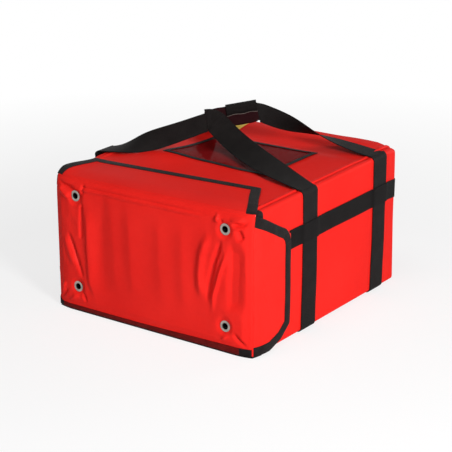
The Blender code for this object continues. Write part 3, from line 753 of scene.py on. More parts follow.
def make_straps():
    """Both webbing runs up the sides and under the bottom."""
    offset = gap + webbing / 2
    outline, all_normals = section(half_width, base_z, top_z, fold_radius, corner_steps=8, pitch=0.006)
    whole = outline + all_normals * offset
    angles = np.arctan2(all_normals[:, 1], np.abs(all_normals[:, 0]))
    for name in ("front", "rear"):
        keep = np.ones(len(whole), bool)
        ends = []
        for side in (-1, 1):
            angle = math.radians(turns_over[name, side])
            mine = (np.sign(whole[:, 0]) == side) & (whole[:, 1] > top_z / 2)
            keep &= ~(mine & (angles > angle - 0.02))
            centre = np.array([side * (half_width - fold_radius), top_z - fold_radius])
            outward = np.array([side * math.cos(angle), math.sin(angle)])
            ends.append((centre + outward * (fold_radius + offset), outward))
        route = np.concatenate([[ends[0][0]], whole[keep], [ends[1][0]]])
        normals = np.concatenate([[ends[0][1]], all_normals[keep], [ends[1][1]]])
        piece = ribbon(
            name + "_webbing_run", stand(route, middle("strap_" + name)[1]), (0, 1, 0), stand(normals, 0.0),
            webbing_width, webbing, black_webbing,
            lambda rings, name=name: loosen(rings, name)
        )
        dress(piece, "bag", "strap_" + name)


def make_band():
    """The band round the sides and the rear, which steps over both webbing runs."""
    low, high = corners("side_band")
    near = gap + band / 2
    over = near + gap + webbing
    side_y = np.arange(low[1], back_y - band_radius, 0.003)
    hug = np.zeros(len(side_y))
    for name in ("front", "rear"):
        strap_y = corners("strap_" + name)[0][1] + webbing_width / 2
        away = np.abs(side_y - strap_y) - webbing_width / 2
        hug = np.maximum(hug, smooth(1 - away / 0.007))
    right = [((half_width + near + (over - near) * share, y), (1.0, 0.0)) for y, share in zip(side_y, hug)]
    turn_x, turn_y = half_width - band_radius, back_y - band_radius
    for angle in np.linspace(0, math.pi / 2, 7):
        way = (math.cos(angle), math.sin(angle))
        right.append(((turn_x + (band_radius + near) * way[0], turn_y + (band_radius + near) * way[1]), way))
    rear = [((x, back_y + near), (0.0, 1.0)) for x in np.linspace(turn_x, -turn_x, 60)[1:-1]]
    left = [((-point[0], point[1]), (-normal[0], normal[1])) for point, normal in right[::-1]]
    level = (low[2] + high[2]) / 2 - 0.004
    centres = np.array([(*point, level) for point, _ in right + rear + left])
    normals = np.array([(*normal, 0.0) for _, normal in right + rear + left])
    piece = ribbon(
        "reinforcing_band", centres, (0, 0, 1), normals, band_width, band, black_band, warp
    )
    dress(piece, "bag", "side_band")


def on_flat_top(name, thickness, above=0.0):
    """The corners of a piece that lies on the top, as it would lie on a flat one."""
    low, high = corners(name)
    low[2] = top_z + gap + above
    high[2] = low[2] + thickness
    return low, high


def make_window():
    """The document window: clear film under a frame of folded tape."""
    low, high = on_flat_top("window_film", film_thick)
    soft_box("window_sheet", low, high, 0.0001, 0.005, film, "bag", "window_film")
    low, high = on_flat_top("window_frame", frame_thick, film_thick + gap)
    edges = []
    for across, end in ((1, 0), (0, 1), (1, 1), (0, 0)):
        along = 1 - across
        trim = 0.0 if across else frame_width + 0.0002
        centres = np.full((50, 3), (low[2] + high[2]) / 2)
        centres[:, along] = np.linspace(low[along] + trim, high[along] - trim, 50)
        centres[:, across] = high[across] - frame_width / 2 if end else low[across] + frame_width / 2
        edges.append(ribbon(
            "window_edge", centres, np.eye(3)[across], (0, 0, 1), frame_width, high[2] - low[2], black_tape,
            warp, 5
        ))
    dress(join(edges, "window_binding"), "bag", "window_frame")


def join(pieces, name):
    """Fuses several meshes into one object."""
    def add_others(bm):
        for piece in pieces[1:]:
            bm.from_mesh(piece.data)

    kept = edit(pieces[0], add_others)
    kept.name = name
    for piece in pieces[1:]:
        bpy.data.objects.remove(piece)
    return kept


def make_strips():
    """Hook and loop strips on the bag and on the wings, and the plain patch."""
    for body, cloth, kind in (("bag", loops, "loop"), (None, hooks, "hook")):
        for name in ("top", "right", "left"):
            strip = f"{name}_loop_strip" if body else f"{name}_wing_hook_strip"
            low, high = corners(strip)
            owner = body or name + "_wing"
            soft_box(strip + "_pile", low, high, 0.0003, 0.005, cloth, owner, strip)
    low, high = on_flat_top("plain_patch", patch_thick)
    soft_box("woven_patch", low, high, 0.0003, 0.004, patch, "bag", "plain_patch")


# The front flap

eyelet_names = ("upper_left", "lower_left", "upper_right", "lower_right")
eyelets = [middle("eyelet_" + name)[[0, 2]] for name in eyelet_names]
eyelet_clear = 0.0092
cover_hole = 0.0066
lining_hole = 0.0072
pad_sunk = 0.0026
fold_strength = 1.65
relief_range = (-0.0025, 0.0085)
foot_rise = 0.0075

# Folds of the front, each as its line from top to bottom in x and z, its height and its width on either side.
# Valleys have a height below 0.
folds = [
    (((-0.130, 0.188), (-0.132, 0.154), (-0.133, 0.122)), -0.0046, 0.0026, 0.0026),
    (((-0.121, 0.184), (-0.118, 0.148), (-0.118, 0.107), (-0.116, 0.056), (-0.105, 0.027)),
     0.0024, 0.004, 0.012),
    (((-0.162, 0.135), (-0.147, 0.101), (-0.136, 0.072), (-0.131, 0.058)), -0.0040, 0.0030, 0.0028),
    (((-0.170, 0.127), (-0.158, 0.098), (-0.146, 0.074)), 0.0014, 0.006, 0.004),
    (((-0.191, 0.216), (-0.168, 0.209), (-0.142, 0.206)), -0.0032, 0.0042, 0.0036),
    (((-0.186, 0.209), (-0.164, 0.195), (-0.143, 0.188)), 0.0026, 0.004, 0.005),
    (((-0.128, 0.223), (-0.129, 0.199)), -0.0030, 0.0024, 0.0026),
    (((-0.086, 0.218), (-0.093, 0.145), (-0.092, 0.044)), -0.0008, 0.012, 0.010),
    (((-0.069, 0.221), (-0.068, 0.150), (-0.063, 0.034)), 0.0008, 0.012, 0.012),
    (((-0.172, 0.047), (-0.181, 0.026)), 0.0024, 0.0028, 0.003),
    (((-0.164, 0.014), (-0.139, 0.034)), 0.0022, 0.003, 0.003),
    (((-0.166, 0.035), (-0.185, 0.016)), -0.0020, 0.002, 0.002),
    (((-0.133, 0.037), (-0.126, 0.019)), -0.0022, 0.0024, 0.0024),
    (((-0.036, 0.205), (-0.033, 0.127), (-0.027, 0.040)), 0.0010, 0.010, 0.014),
    (((0.020, 0.200), (0.024, 0.118), (0.030, 0.036)), 0.0009, 0.010, 0.014),
    (((0.066, 0.196), (0.066, 0.128), (0.070, 0.040)), 0.0011, 0.011, 0.012),
    (((0.117, 0.185), (0.103, 0.149), (0.099, 0.117), (0.102, 0.074)), 0.0034, 0.007, 0.006),
    (((0.139, 0.180), (0.124, 0.140), (0.115, 0.103), (0.113, 0.071)), -0.0044, 0.0034, 0.0036),
    (((0.149, 0.162), (0.134, 0.118), (0.125, 0.088), (0.121, 0.059)), 0.0028, 0.0028, 0.003),
    (((0.158, 0.182), (0.160, 0.130), (0.156, 0.062)), -0.0040, 0.007, 0.017),
    (((0.184, 0.175), (0.186, 0.118), (0.187, 0.062)), 0.0022, 0.004, 0.006),
    (((0.151, 0.212), (0.170, 0.213), (0.184, 0.221), (0.193, 0.232)), 0.0034, 0.0026, 0.003),
    (((0.157, 0.204), (0.176, 0.205), (0.192, 0.214)), -0.0034, 0.0028, 0.0028),
    (((0.167, 0.198), (0.176, 0.181)), -0.0034, 0.005, 0.005),
    (((0.128, 0.222), (0.131, 0.203)), 0.0030, 0.0024, 0.0026),
    (((0.137, 0.210), (0.137, 0.194)), -0.0026, 0.0024, 0.0024),
    (((0.151, 0.034), (0.141, 0.021)), 0.0018, 0.003, 0.003),
    (((0.159, 0.036), (0.172, 0.025), (0.189, 0.013)), -0.0032, 0.0026, 0.0026),
]

# Ridges of a side wing, by the distance from its fold and the height
wing_folds = [
    (((0.015, 0.210), (0.014, 0.168), (0.011, 0.135), (0.010, 0.101)), 0.0020, 0.005, 0.008),
    (((0.012, 0.121), (0.023, 0.092), (0.035, 0.069)), 0.0020, 0.003, 0.004),
    (((0.001, 0.073), (0.013, 0.040), (0.013, 0.013)), 0.0015, 0.004, 0.008),
    (((0.050, 0.200), (0.045, 0.173), (0.034, 0.152)), 0.0012, 0.006, 0.006),
]

# The double line along the top fold: distances below the top, widths and heights
pucker_lines = [(0.0165, 0.0024, 0.0026), (0.0127, 0.0018, -0.00182), (0.0092, 0.0018, 0.00182)]


def fold(x, z, path, height, left, right):
    """One fold of the cloth: steeper on the side where it is narrower, and fading out at its ends."""
    path = np.array(path)
    best, aside, run = np.full(x.shape, np.inf), np.zeros(x.shape), np.zeros(x.shape)
    walked = 0.0
    for start, finish in zip(path, path[1:]):
        long = np.linalg.norm(finish - start)
        way = (finish - start) / long
        along = np.clip((x - start[0]) * way[0] + (z - start[1]) * way[1], 0, long)
        off_x, off_z = x - start[0] - way[0] * along, z - start[1] - way[1] * along
        far = np.hypot(off_x, off_z)
        closer = far < best
        best = np.where(closer, far, best)
        aside = np.where(closer, off_x * -way[1] + off_z * way[0], aside)
        run = np.where(closer, walked + along, run)
        walked += long
    width = np.where(aside > 0, right, left)
    ends = ramp(run / walked, 0, 0.25) * ramp(1 - run / walked, 0, 0.25)
    return height * np.exp(-((best / width) ** 2)) * ends


def relief(x, z):
    """How far the front stands out between its eyelets and its edges."""
    clear = np.ones_like(x)
    for place_x, place_z in eyelets:
        clear = clear * ramp(np.hypot(x - place_x, z - place_z), eyelet_clear, 0.008)
    edge = ramp(wing_half - np.abs(x), 0.006, 0.014) * ramp(z, 0.012, 0.012)
    edge = edge * ramp(wing_z - z, fold_radius, 0.008)
    total = 0.0014 * waves(x, z * 0.25, 31, 5, 0.16, 0.06) + 0.0022
    total = total + fold_strength * sum(fold(x, z, *line) for line in folds)
    busy = bell(np.abs(x), 0.145, 0.04) + 0.15
    total = total + 0.0005 * busy * (1 - 2 * np.abs(waves(x, z * 0.6, 77, 4, 0.05, 0.02)))
    return clear * edge * np.clip(total, *relief_range)


def flap_grid(side_lines, up_lines, level, share=1.0):
    """Points of a sheet parallel to the front, at a depth behind its face, with a share of its relief."""
    x, z = np.meshgrid(side_lines, up_lines)
    return np.stack([x, front_y + level - relief(x, z) * share, z], -1)


def puckers(x, z):
    """The double line along the top fold, where the cloth puckers."""
    between = ramp(x, -0.17, 0.05) * smooth((0.12 - x) / 0.06) * ramp(wing_z - z, fold_radius, 0.003)
    return between * sum(height * bell(z, wing_z - below, width) for below, width, height in pucker_lines)


def punch(piece, radius):
    """Opens the four vent holes in a flat grid and draws the cloth's edge on to a circle."""
    def open_holes(bm):
        for place_x, place_z in eyelets:
            near = [v for v in bm.verts if math.hypot(v.co.x - place_x, v.co.z - place_z) < radius]
            bmesh.ops.delete(bm, geom=near, context="VERTS")
        for place_x, place_z in eyelets:
            for vert in bm.verts:
                apart = math.hypot(vert.co.x - place_x, vert.co.z - place_z)
                if vert.is_boundary and apart < radius * 2:
                    vert.co.x = place_x + (vert.co.x - place_x) * radius / apart
                    vert.co.z = place_z + (vert.co.z - place_z) * radius / apart

    return edit(piece, open_holes)


def make_flap():
    """The flap's fabric, its foam and its foil."""
    low, high = corners("flap_skin")
    flat_half, flat_top = wing_half - fold_radius, wing_z - fold_radius
    pitch = 0.002
    sides = np.linspace(-flat_half, flat_half, int(2 * flat_half / pitch))
    ups = np.linspace(low[2], flat_top, int((flat_top - low[2]) / pitch))
    front = flap_grid(sides, ups, 0.0)
    front[..., 1] -= puckers(front[..., 0], front[..., 2])
    angles = np.linspace(0, math.pi / 4, 5)[1:]
    rolled = [(fold_radius * math.sin(angle), fold_radius * (1 - math.cos(angle))) for angle in angles]
    columns = [front]
    for out, back in rolled:
        left = np.stack([np.full(len(ups), -flat_half - out), front[:, 0, 1] + back, ups], -1)
        right = np.stack([np.full(len(ups), flat_half + out), front[:, -1, 1] + back, ups], -1)
        columns = [left[:, None], *columns, right[:, None]]
    body = np.concatenate(columns, axis=1)
    crest = []
    for out, back in rolled:
        row = body[-1] + np.array([0, back, out])
        row[:, 0] *= np.minimum(1, (wing_half - 0.0011 - back) / np.abs(row[:, 0]).max())
        crest.append(row)
    grid = np.concatenate([body, np.array(crest)], axis=0)
    cover = panel("front_cover", soften(grid), fabric, red)
    dress(punch(cover, cover_hole), "flap", "flap_skin")

    low, high = corners("flap_foam")
    inset = 0.0025
    foam_sides = np.linspace(low[0] + inset, high[0] - inset, 110)
    foam_ups = np.linspace(low[2] + 0.001, high[2] - inset, 64)
    face = soften(flap_grid(foam_sides, foam_ups, fabric + gap + pad_sunk, 0.0))
    pad = panel("front_pad", face, high[1] - low[1] - pad_sunk, foam)
    dress(punch(pad, lining_hole), "flap", "flap_foam")

    low, high = corners("flap_lining")
    face = soften(flap_grid(foam_sides, foam_ups, low[1] - front_y, 0.15))
    back = panel("front_liner", face, high[1] - low[1], foil)
    dress(punch(back, lining_hole), "flap", "flap_lining")


def make_foot_tape():
    """The tape folded round the flap's bottom edge, higher towards the right and at its left end."""
    low, high = corners("flap_bottom_binding")
    across = np.linspace(low[0], high[0], 90)
    rise = foot_rise + 0.004 * ramp(across, -0.05, 0.24)
    before, behind = low[1] + tape / 2, high[1] - tape / 2
    foot = low[2] + tape / 2
    profile = [(0.0, 0.0), (0.0, 0.0016), (0.0006, 0.0004), (0.0018, 0.0)]
    profile = [(before + inward, foot + up) for inward, up in profile] + \
        [(behind - inward, foot + up) for inward, up in profile[::-1]]
    points = np.array([np.stack([across, np.full(90, y), np.full(90, z)], -1) for y, z in profile])
    points[[0, -1], :, 2] += rise
    points[0, :, 2] += 0.006 * ramp(-across, 0.186, 0.006)
    points = soften(points)
    uvs = np.stack([points[..., 0], lengths(points, 0)], -1)
    # The tape's dark maroon middle is painted shade with red bounce light.
    piece = panel("foot_tape", points, tape, foot_cloth, flip=True, offset=0, uvs=uvs)
    dress(piece, "flap", "flap_bottom_binding")


# The wings of the flap

wing_layer = gap + tape
tape_half = fabric / 2 + wing_layer
tape_hollow = fabric / 2 + gap
tape_corner = 0.004
wing_lead = 0.0008

# Outline of a side wing's lower edge between its foot and its far end, as the distance from the fold and
# the height
wing_chamfer = [(0.039, 0.0), (0.07, 0.011)]
chamfer_top = 0.03
wing_drop = 0.047
corner_round = 0.012


def lay(along, away, rise, put):
    """Rolls a flat shape over a fold, from its 45 degree line on, and bends it with the bag."""
    along, away, rise = np.broadcast_arrays(*(np.asarray(value, float) for value in (along, away, rise)))
    angle = math.pi / 4 * (1 + np.clip(away / fold_radius, 0, 1))
    out = (fold_radius + rise) * np.sin(angle) - fold_radius
    back = np.where(away < fold_radius, fold_radius - (fold_radius + rise) * np.cos(angle), away)
    return warp(np.stack(put(along, out, front_y + back), -1))


def lay_top(along, away, rise):
    """A place on the top wing: along the fold, away from it and above its face. Its left end stands off."""
    along, away = np.asarray(along, float), np.asarray(away, float)
    lift = 0.004 * ramp(-along, 0.15, 0.045) * ramp(away, 0, 0.02)
    rise = rise + lift * (1 - 0.6 * ramp(away, 0.04, 0.05))
    return lay(along, away, rise, lambda a, out, y: [a, y, wing_z + out])


def lay_side(side):
    """Gives the function of a place on a side wing, with its ridges."""
    def placed(along, away, rise):
        flat, up = np.broadcast_arrays(np.asarray(away, float), np.asarray(along, float))
        rise = rise + sum(fold(flat, up, *line) for line in wing_folds)
        return lay(along, away, rise, lambda a, out, y: [side * (wing_half + out), y, a])
    return placed


def taped_edge(name, path, place):
    """Tape folded over a wing's free edges. The path gives their corners as (along, away)."""
    path = np.array(path, float)
    count = len(path)
    directions = unit(path[1:] - path[:-1])
    inward = np.stack([directions[:, 1], -directions[:, 0]], -1)
    if np.dot(inward[1], path.mean(axis=0) - path[1]) < 0:
        inward = -inward
    inner = [path[0] + inward[0] * tape_width]
    for before, after, corner in zip(inward, inward[1:], path[1:]):
        mitre = before + after
        inner.append(corner + mitre * tape_width / np.dot(mitre, before))
    inner = np.array(inner + [path[-1] + inward[-1] * tape_width])
    for end in (0, -1):
        inner[end] += directions[end] * (path[end][1] - inner[end][1]) / directions[end][1]

    outer_run, inner_run = [], []
    for index in range(count - 1):
        start, finish = path[index], path[index + 1]
        long = np.linalg.norm(finish - start)
        first = tape_corner / long if index else 0.0
        last = 1 - tape_corner / long if index < count - 2 else 1.0
        for share in np.linspace(0, 1, max(int(long / 0.004), 3)):
            outer_run.append(start + (finish - start) * (first + (last - first) * share))
            inner_run.append(inner[index] + (inner[index + 1] - inner[index]) * share)
        if index < count - 2:
            here, there = outer_run[-1], finish + directions[index + 1] * tape_corner
            for share in (0.25, 0.5, 0.75):
                rest = 1 - share
                outer_run.append(rest**2 * here + 2 * share * rest * finish + share**2 * there)
                inner_run.append(inner[index + 1])
    outer_run, inner_run = np.array(outer_run), np.array(inner_run)

    outside = [
        (1.0, tape_half - 0.0001), (0.97, tape_half), (0.5, tape_half + 0.00012), (0.1, tape_half),
        (0.035, tape_half * 0.8), (0.0, tape_half * 0.35),
    ]
    hollow = [(1.0, tape_hollow), (0.5, tape_hollow), (0.07, tape_hollow * 0.9)]
    outside += [(share, -rise) for share, rise in outside[::-1]]
    hollow = [(share, -rise) for share, rise in hollow] + [(0.035, 0.0)] + hollow[::-1]
    rings = []
    for share, rise in outside + hollow:
        flat = outer_run + (inner_run - outer_run) * share
        rings.append(place(flat[:, 0], np.maximum(flat[:, 1], 0.0), rise - fabric / 2))
    spread = np.array([share for share, _ in outside + hollow]) * tape_width
    edge = tube(name, np.stack(rings, axis=1), outer_run, spread, black_tape)
    return edit(edge, face_outwards)


def finish_wing(name, skin, place, path, cut, crest):
    """Thickens a wing's fabric and adds its tape, in place of the CAD skin and binding. cut, its flat outline,
    is not used.
    """
    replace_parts(skin, name + "_skin")
    start, end = warp(crest)
    bpy.context.view_layer.objects.active = skin
    bpy.ops.object.modifier_apply(modifier="wall")
    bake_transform(skin)
    edge = taped_edge(name + "_tape", path, place)
    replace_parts(edge, name + "_binding")
    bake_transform(edge)
    cut = np.array(cut)


def make_top_wing():
    """The top wing, deeper at its left end, with its tape."""
    far = corners("top_wing_binding")[1][1] - front_y
    left_far, right_far = (-0.178, 0.0915), (0.134, far + 0.0015)
    near_x = wing_half - wing_layer
    shares = np.linspace(0, 1, 34)[:, None]
    across = np.linspace(0, 1, 110)[None, :]
    left_x = -near_x + (wing_half + left_far[0]) * shares
    right_x = near_x - (wing_half - right_far[0]) * shares
    span = left_far[1] + (right_far[1] - left_far[1]) * across - wing_layer
    grid = lay_top(left_x + (right_x - left_x) * across, span * shares**1.2, 0.0)
    path = [(-wing_half, wing_lead), left_far, right_far, (wing_half - 0.0005, wing_lead)]
    cut = [
        (-near_x, 0.0), (left_far[0] + wing_layer, left_far[1] - wing_layer),
        (right_far[0] - wing_layer, right_far[1] - wing_layer), (near_x, 0.0)
    ]
    bend = fold_radius * (1 - math.cos(math.pi / 4))
    crest = [(0, front_y + bend, wing_z - bend), (0, front_y + fold_radius, wing_z)]
    skin = panel("top_wing_cover", grid, fabric, red)
    finish_wing("top_wing", skin, lay_top, path, cut, crest)


def make_side_wing(side, name):
    """A side wing with its tape. Its upper edge drops away from the fold, and its lower corner is cut off."""
    low, high = corners(name + "_binding")
    far, foot, top = high[1] - front_y, low[2], high[2] + 0.0011
    chamfer = [(0.0, foot), (wing_chamfer[0][0], foot), wing_chamfer[1], (far, chamfer_top)]

    def upper(away):
        return top - wing_drop * away / far - 0.004 * ramp(away, far - 0.014, 0.012)

    def ends(away):
        """The fabric's lower and upper end at a distance from the fold."""
        return np.interp(away + wing_layer, *zip(*chamfer)) + wing_layer, upper(away) - wing_layer

    place = lay_side(side)
    deep, pitch = far - wing_layer, 0.0035
    beyond = np.linspace(fold_radius, deep, int(deep / pitch))[1:]
    aways = np.concatenate([np.linspace(0, fold_radius, 6), beyond])
    shares = np.linspace(0, 1, int(abs(ends(0)[1] - ends(0)[0]) / pitch))
    grid = []
    for away in aways:
        start, finish = ends(away)
        grid.append(place(start + (finish - start) * shares, np.full(len(shares), away), 0.0))
    path = [(upper(wing_lead), wing_lead), (upper(far - corner_round), far - corner_round)]
    path += [(upper(far), far - 0.0035), (upper(far) - corner_round, far), (chamfer_top, far)]
    path += [wing_chamfer[1][::-1], (foot, wing_chamfer[0][0]), (foot, wing_lead)]
    stations = np.linspace(0, deep, 60)
    below, above = ends(stations)
    cut = list(zip(stations, below)) + list(zip(stations, above))[::-1]
    bend = fold_radius * (1 - math.cos(math.pi / 4))
    crest = [
        (side * (wing_half - bend), front_y + bend, top_z / 2),
        (side * wing_half, front_y + fold_radius, top_z / 2)
    ]
    skin = panel(name + "_cover", np.array(grid), fabric, red, flip=side > 0)
    finish_wing(name, skin, place, path, cut, crest)


# The handle

grip_place = middle("grip_web_rear")
hinge_axis = next(one["axis"] for one in frame["joints"] if one["name"] == "wrap_flap_hinge")
along_grip = -np.array(hinge_axis, float)
behind_grip = unit(np.cross([0.0, 0.0, 1.0], along_grip))
above_grip = np.cross(along_grip, behind_grip)
grip_length = 0.085
grip_web = 0.028
wrap_hollow = 0.005
wrap_wall = 0.0025
wrap_corner = 0.0035
wrap_half_thick = wrap_hollow / 2 + wrap_wall
wrap_half_height = grip_web / 2 + gap + wrap_wall
front_face = -wrap_half_thick - gap - webbing / 2
lip = 0.0018
lip_length = 0.0505
lip_bend = 0.0035

# The front loop fans out in the grip, and turns down into its right leg
fan_turn = math.radians(59.5)
fan_width = 0.038
fan_start = 0.036
fan_foot = (-0.0424, -0.0161)
fan_end = (
    fan_foot[0] + fan_width / 2 * math.sin(fan_turn) + 0.0001, front_face,
    fan_foot[1] + fan_width / 2 * math.cos(fan_turn) - 0.0001
)

# Each leg's side, strap, place, lean and width in the grip, the share of its way along which it turns
# upright, and the pull of its start and its end on its curve
legs = {
    "front_right": (1, "front", fan_end, fan_turn, fan_width, 0.65, 0.35, 0.055),
    "front_left": (-1, "front", (-0.0426, front_face, -0.0021), 0.0, 0.031, 0.83, 0.29, 0.07),
    "rear_right": (1, "rear", (0.0426, 0.0, 0.0), math.pi, 0.03, 1.15, 0.36, 0.024),
    "rear_left": (-1, "rear", (-0.0426, 0.0, 0.0), math.pi, 0.028, 0.83, 0.3, 0.05),
}


def on_grip(along, behind, above):
    """A place in the grip's own frame."""
    along, behind, above = (np.asarray(value, float)[..., None] for value in (along, behind, above))
    return grip_place + along * along_grip + behind * behind_grip + above * above_grip


def make_leg(name, side, strap, end, lean, width, twist, start, finish):
    """One leg of a webbing loop, from the top edge up to the grip, which turns upright on its way."""
    angle = math.radians(turns_over[strap, side])
    corner = np.array([side * (half_width - fold_radius), middle("strap_" + strap)[1], top_z - fold_radius])
    outward = np.array([side * math.cos(angle), 0, math.sin(angle)])
    leaving = np.array([-side * math.sin(angle), 0, math.cos(angle)])
    nominal = corner + outward * (fold_radius + gap + webbing / 2)
    first_point = loosen(nominal[None], strap)[0] + leaving * gap / 3
    last_point = on_grip(*end)
    first = first_point + leaving * np.linalg.norm(last_point - first_point) * start
    last_across = along_grip * math.sin(lean) + above_grip * math.cos(lean)
    if 0 < lean < math.pi:
        arriving = along_grip * math.cos(lean) - above_grip * math.sin(lean)
    else:
        arriving = unit(first - last_point)
    second = last_point + arriving * finish
    shares = np.linspace(0, 1, 70)[:, None]
    rest = 1 - shares
    centres = rest**3 * first_point + 3 * rest**2 * shares * first + 3 * rest * shares**2 * second
    centres = centres + shares**3 * last_point
    turned = smooth(shares**twist)
    across = np.array([0.0, 1.0, 0.0]) * (1 - turned) + last_across * turned
    tangents = unit(np.gradient(centres, axis=0))
    square = 1 - ramp(shares, 0.88, 0.12)
    across = unit(across - tangents * (across * tangents).sum(axis=1, keepdims=True) * square)
    normals = unit(np.cross(across, tangents) * side)
    widths = width * turned[:, 0] + webbing_width * (1 - turned[:, 0])
    piece = ribbon("leg_" + name, centres, across, normals, widths, webbing, black_webbing)
    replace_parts(edit(piece, face_outwards), "handle_leg_" + name)
    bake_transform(piece)


def make_webs():
    """The webbing inside the grip, and the front loop's fan, where it turns down into its right leg."""
    run = np.linspace(-grip_length / 2, grip_length / 2, 20)
    share = np.linspace(0, 1, 26)
    turn = fan_turn * share
    wide = fan_start + (fan_width - fan_start) * share
    out = front_face - 0.0007 * np.abs(np.sin(2.5 * math.pi * share))
    fan = on_grip(fan_foot[0] + wide / 2 * np.sin(turn), out, fan_foot[1] + wide / 2 * np.cos(turn))
    fanned = np.sin(turn)[:, None] * along_grip + np.cos(turn)[:, None] * above_grip
    webs = (("rear", on_grip(run, 0, 0), above_grip, grip_web), ("front", fan, fanned, wide))
    for name, centres, across, width in webs:
        piece = ribbon(
            "inner_web_" + name, centres, across, -behind_grip, width, webbing, black_webbing
        )
        dress(edit(piece, face_outwards), "grip", "grip_web_" + name)


def make_sleeve():
    """The padded wrap round the grip, drawn in a little at its ends."""
    ring = []
    for quarter in range(4):
        for step in range(6):
            angle = math.pi / 2 * (quarter + step / 5)
            inside = angle + 0.01 if step < 5 else angle - 0.01
            out = math.copysign(wrap_half_thick - wrap_corner, math.cos(inside))
            up = math.copysign(wrap_half_height - wrap_corner, math.sin(inside))
            ring.append((out + wrap_corner * math.cos(angle), up + wrap_corner * math.sin(angle)))
    ring = np.array(ring)
    bore = np.array([wrap_hollow / 2, grip_web / 2 + gap])
    hollow = np.clip(ring, -bore, bore)
    stations = []
    for share in np.linspace(0, 1, 24):
        end = min(share, 1 - share) * grip_length
        puff = 1 - 0.0009 / wrap_half_thick * (1 - ramp(end, 0, 0.004))
        tall = 1 - 0.05 * (1 - ramp(end, 0, 0.02)) + 0.012 * math.sin(31 * share)
        stations.append((share, ring * puff * np.array([1.0, tall])))
    stations += [(share, hollow) for share in np.linspace(1, 0, 24)]
    stations.append(stations[0])
    points = np.array([
        on_grip(grip_length * (share - 0.5), loop[:, 0], loop[:, 1]) for share, loop in stations
    ])
    uvs = np.stack([lengths(points, 0), lengths(points, 1)], -1).reshape(-1, 2)
    faces = grid_faces(len(points), len(ring), closed=True)
    # The sleeve's dark red tint is painted red bounce light.
    sleeve = add_mesh("grip_sleeve", points.reshape(-1, 3), faces, uvs, sleeve_cloth)
    dress(edit(sleeve, close_seams), "grip", "grip_wrap")


def make_lip():
    """The wrap's closing flap, over the grip's top and front, with a thin pale strip along its hem as a
    painted edge highlight.
    """
    clear = gap + lip / 2
    over, before = wrap_half_height + clear, -wrap_half_thick - clear
    path = [(wrap_half_thick, over), (0.0, over)]
    for turn in np.linspace(0, math.pi / 2, 7):
        path.append((before + lip_bend * (1 - math.sin(turn)), over - lip_bend * (1 - math.cos(turn))))
    path += [(before, over - 0.009), (before, wrap_half_height - 0.014)]
    runs = np.linspace(grip_length / 2 - lip_length, grip_length / 2, 30)
    points = np.array([on_grip(runs, np.full(30, behind), np.full(30, above)) for behind, above in path])
    uvs = cloth_map(points)
    grown = np.linspace(0, 1, len(path))[:, None, None]
    points += 0.0006 * np.sin(runs * 260)[None, :, None] * grown * above_grip
    cover = panel("grip_lip", points, lip, grip_cloth, offset=0, uvs=uvs)
    dress(cover, "wrap_flap", "wrap_flap")
    # A thin pale strip along the lip's hem: a painted edge highlight.
    hem = ribbon(
        "lip_edge", points[-1] - behind_grip * (lip / 2 + 0.0002), above_grip, -behind_grip,
        0.0007, 0.0003, painted_edge_highlight, columns=3
    )
    dress(edit(hem, face_outwards), "wrap_flap")


def dress_eyelets():
    """The eyelets and washers keep their own shapes and get worn nickel."""
    for name, obj in frame["nodes"].items():
        if name.startswith("eyelet"):
            obj.data.materials.clear()
            obj.data.materials.append(nickel)
            obj.data.shade_smooth()
            obj.data.set_sharp_from_angle(angle=math.radians(35))


make_skins()
make_pads()
make_liner()
make_mouth_tape()
make_hinge_tape()
make_straps()
make_band()
make_window()
make_strips()
make_flap()
make_foot_tape()
make_top_wing()
make_side_wing(1, "right_wing")
make_side_wing(-1, "left_wing")
for leg_name, leg in legs.items():
    make_leg(leg_name, *leg)
make_webs()
make_sleeve()
make_lip()
dress_eyelets()


# Camera, lights and floor

def make_camera():
    """The camera at the photograph's viewing angle."""
    data = bpy.data.cameras.new("camera")
    data.lens = 106.95
    data.sensor_width = 36
    camera = bpy.data.objects.new("camera", data)
    camera.location = (1.2127, -1.7013, 0.7938)
    camera.rotation_euler = (math.radians(90 - 18.006), 0, math.radians(35.642))
    bpy.context.scene.collection.objects.link(camera)
    bpy.context.scene.camera = camera


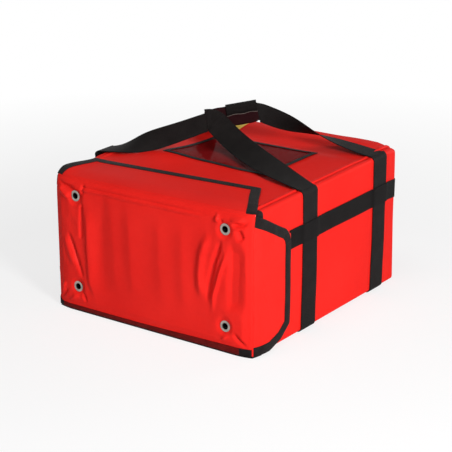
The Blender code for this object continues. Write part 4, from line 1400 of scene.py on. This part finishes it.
def make_lamp(name, place, aim, size, power):
    """A soft square lamp that faces a point."""
    data = bpy.data.lights.new(name, "AREA")
    data.size = size
    data.energy = power
    lamp = bpy.data.objects.new(name, data)
    lamp.location = place
    lamp.rotation_euler = (Vector(aim) - Vector(place)).to_track_quat("-Z", "Y").to_euler()
    bpy.context.scene.collection.objects.link(lamp)


def make_world():
    """A white world to the eye, and a plain even light on the bag."""
    world = bpy.data.worlds.new("studio")
    bpy.context.scene.world = world
    world.use_nodes = True
    sky = Nodes(world.node_tree)
    sky.tree.nodes.clear()
    light, white = (
        sky.add("ShaderNodeBackground", {"Color": (1, 1, 1, 1), "Strength": strength})
        for strength in (0.14, 1.0)
    )
    mix = sky.add("ShaderNodeMixShader", {0: sky.seen(), 1: light, 2: white})
    sky.feed(sky.tree.nodes.new("ShaderNodeOutputWorld"), {"Surface": mix})


def make_floor():
    """A pale floor that keeps the bag's shadow, and is white to the eye far from the bag."""
    pale = Surface("pale_floor")
    pale.finish({"Base Color": (0.9, 0.9, 0.9, 1), "Roughness": 0.9, "Specular IOR Level": 0.1}, [])
    white = pale.add("ShaderNodeEmission", {"Strength": 1.0})
    far = pale.add("ShaderNodeVectorMath", {0: pale.where}, "Value", operation="LENGTH")
    sockets = {"Value": far, "From Min": 0.5, "From Max": 1.6, "To Min": 0.74, "To Max": 1.0}
    share = pale.add("ShaderNodeMapRange", sockets)
    share = pale.math("MULTIPLY", pale.seen(), share)
    mix = pale.add("ShaderNodeMixShader", {0: share, 1: pale.shader.outputs[0], 2: white})
    pale.feed(pale.tree.nodes["Material Output"], {"Surface": mix})
    size = 6.0
    square = [(-size, -size, 0), (size, -size, 0), (size, size, 0), (-size, size, 0)]
    add_mesh("floor", square, [(0, 1, 2, 3)], material=pale.made)


make_camera()
make_lamp("overhead", (0.1, -0.8, 2.2), (0, -0.05, 0.2), 1.0, 13)
make_lamp("right_side", (2.0, -1.1, 0.95), (0.1, 0, 0.12), 0.4, 54)
make_lamp("front_fill", (0.4, -2.4, 0.9), (0, -0.1, 0.12), 1.2, 2)
make_lamp("rear_fill", (0.9, 2.5, 0.8), (0, 0.1, 0.12), 1.2, 14)
make_world()
make_floor()
bpy.context.scene.view_settings.view_transform = "Standard"
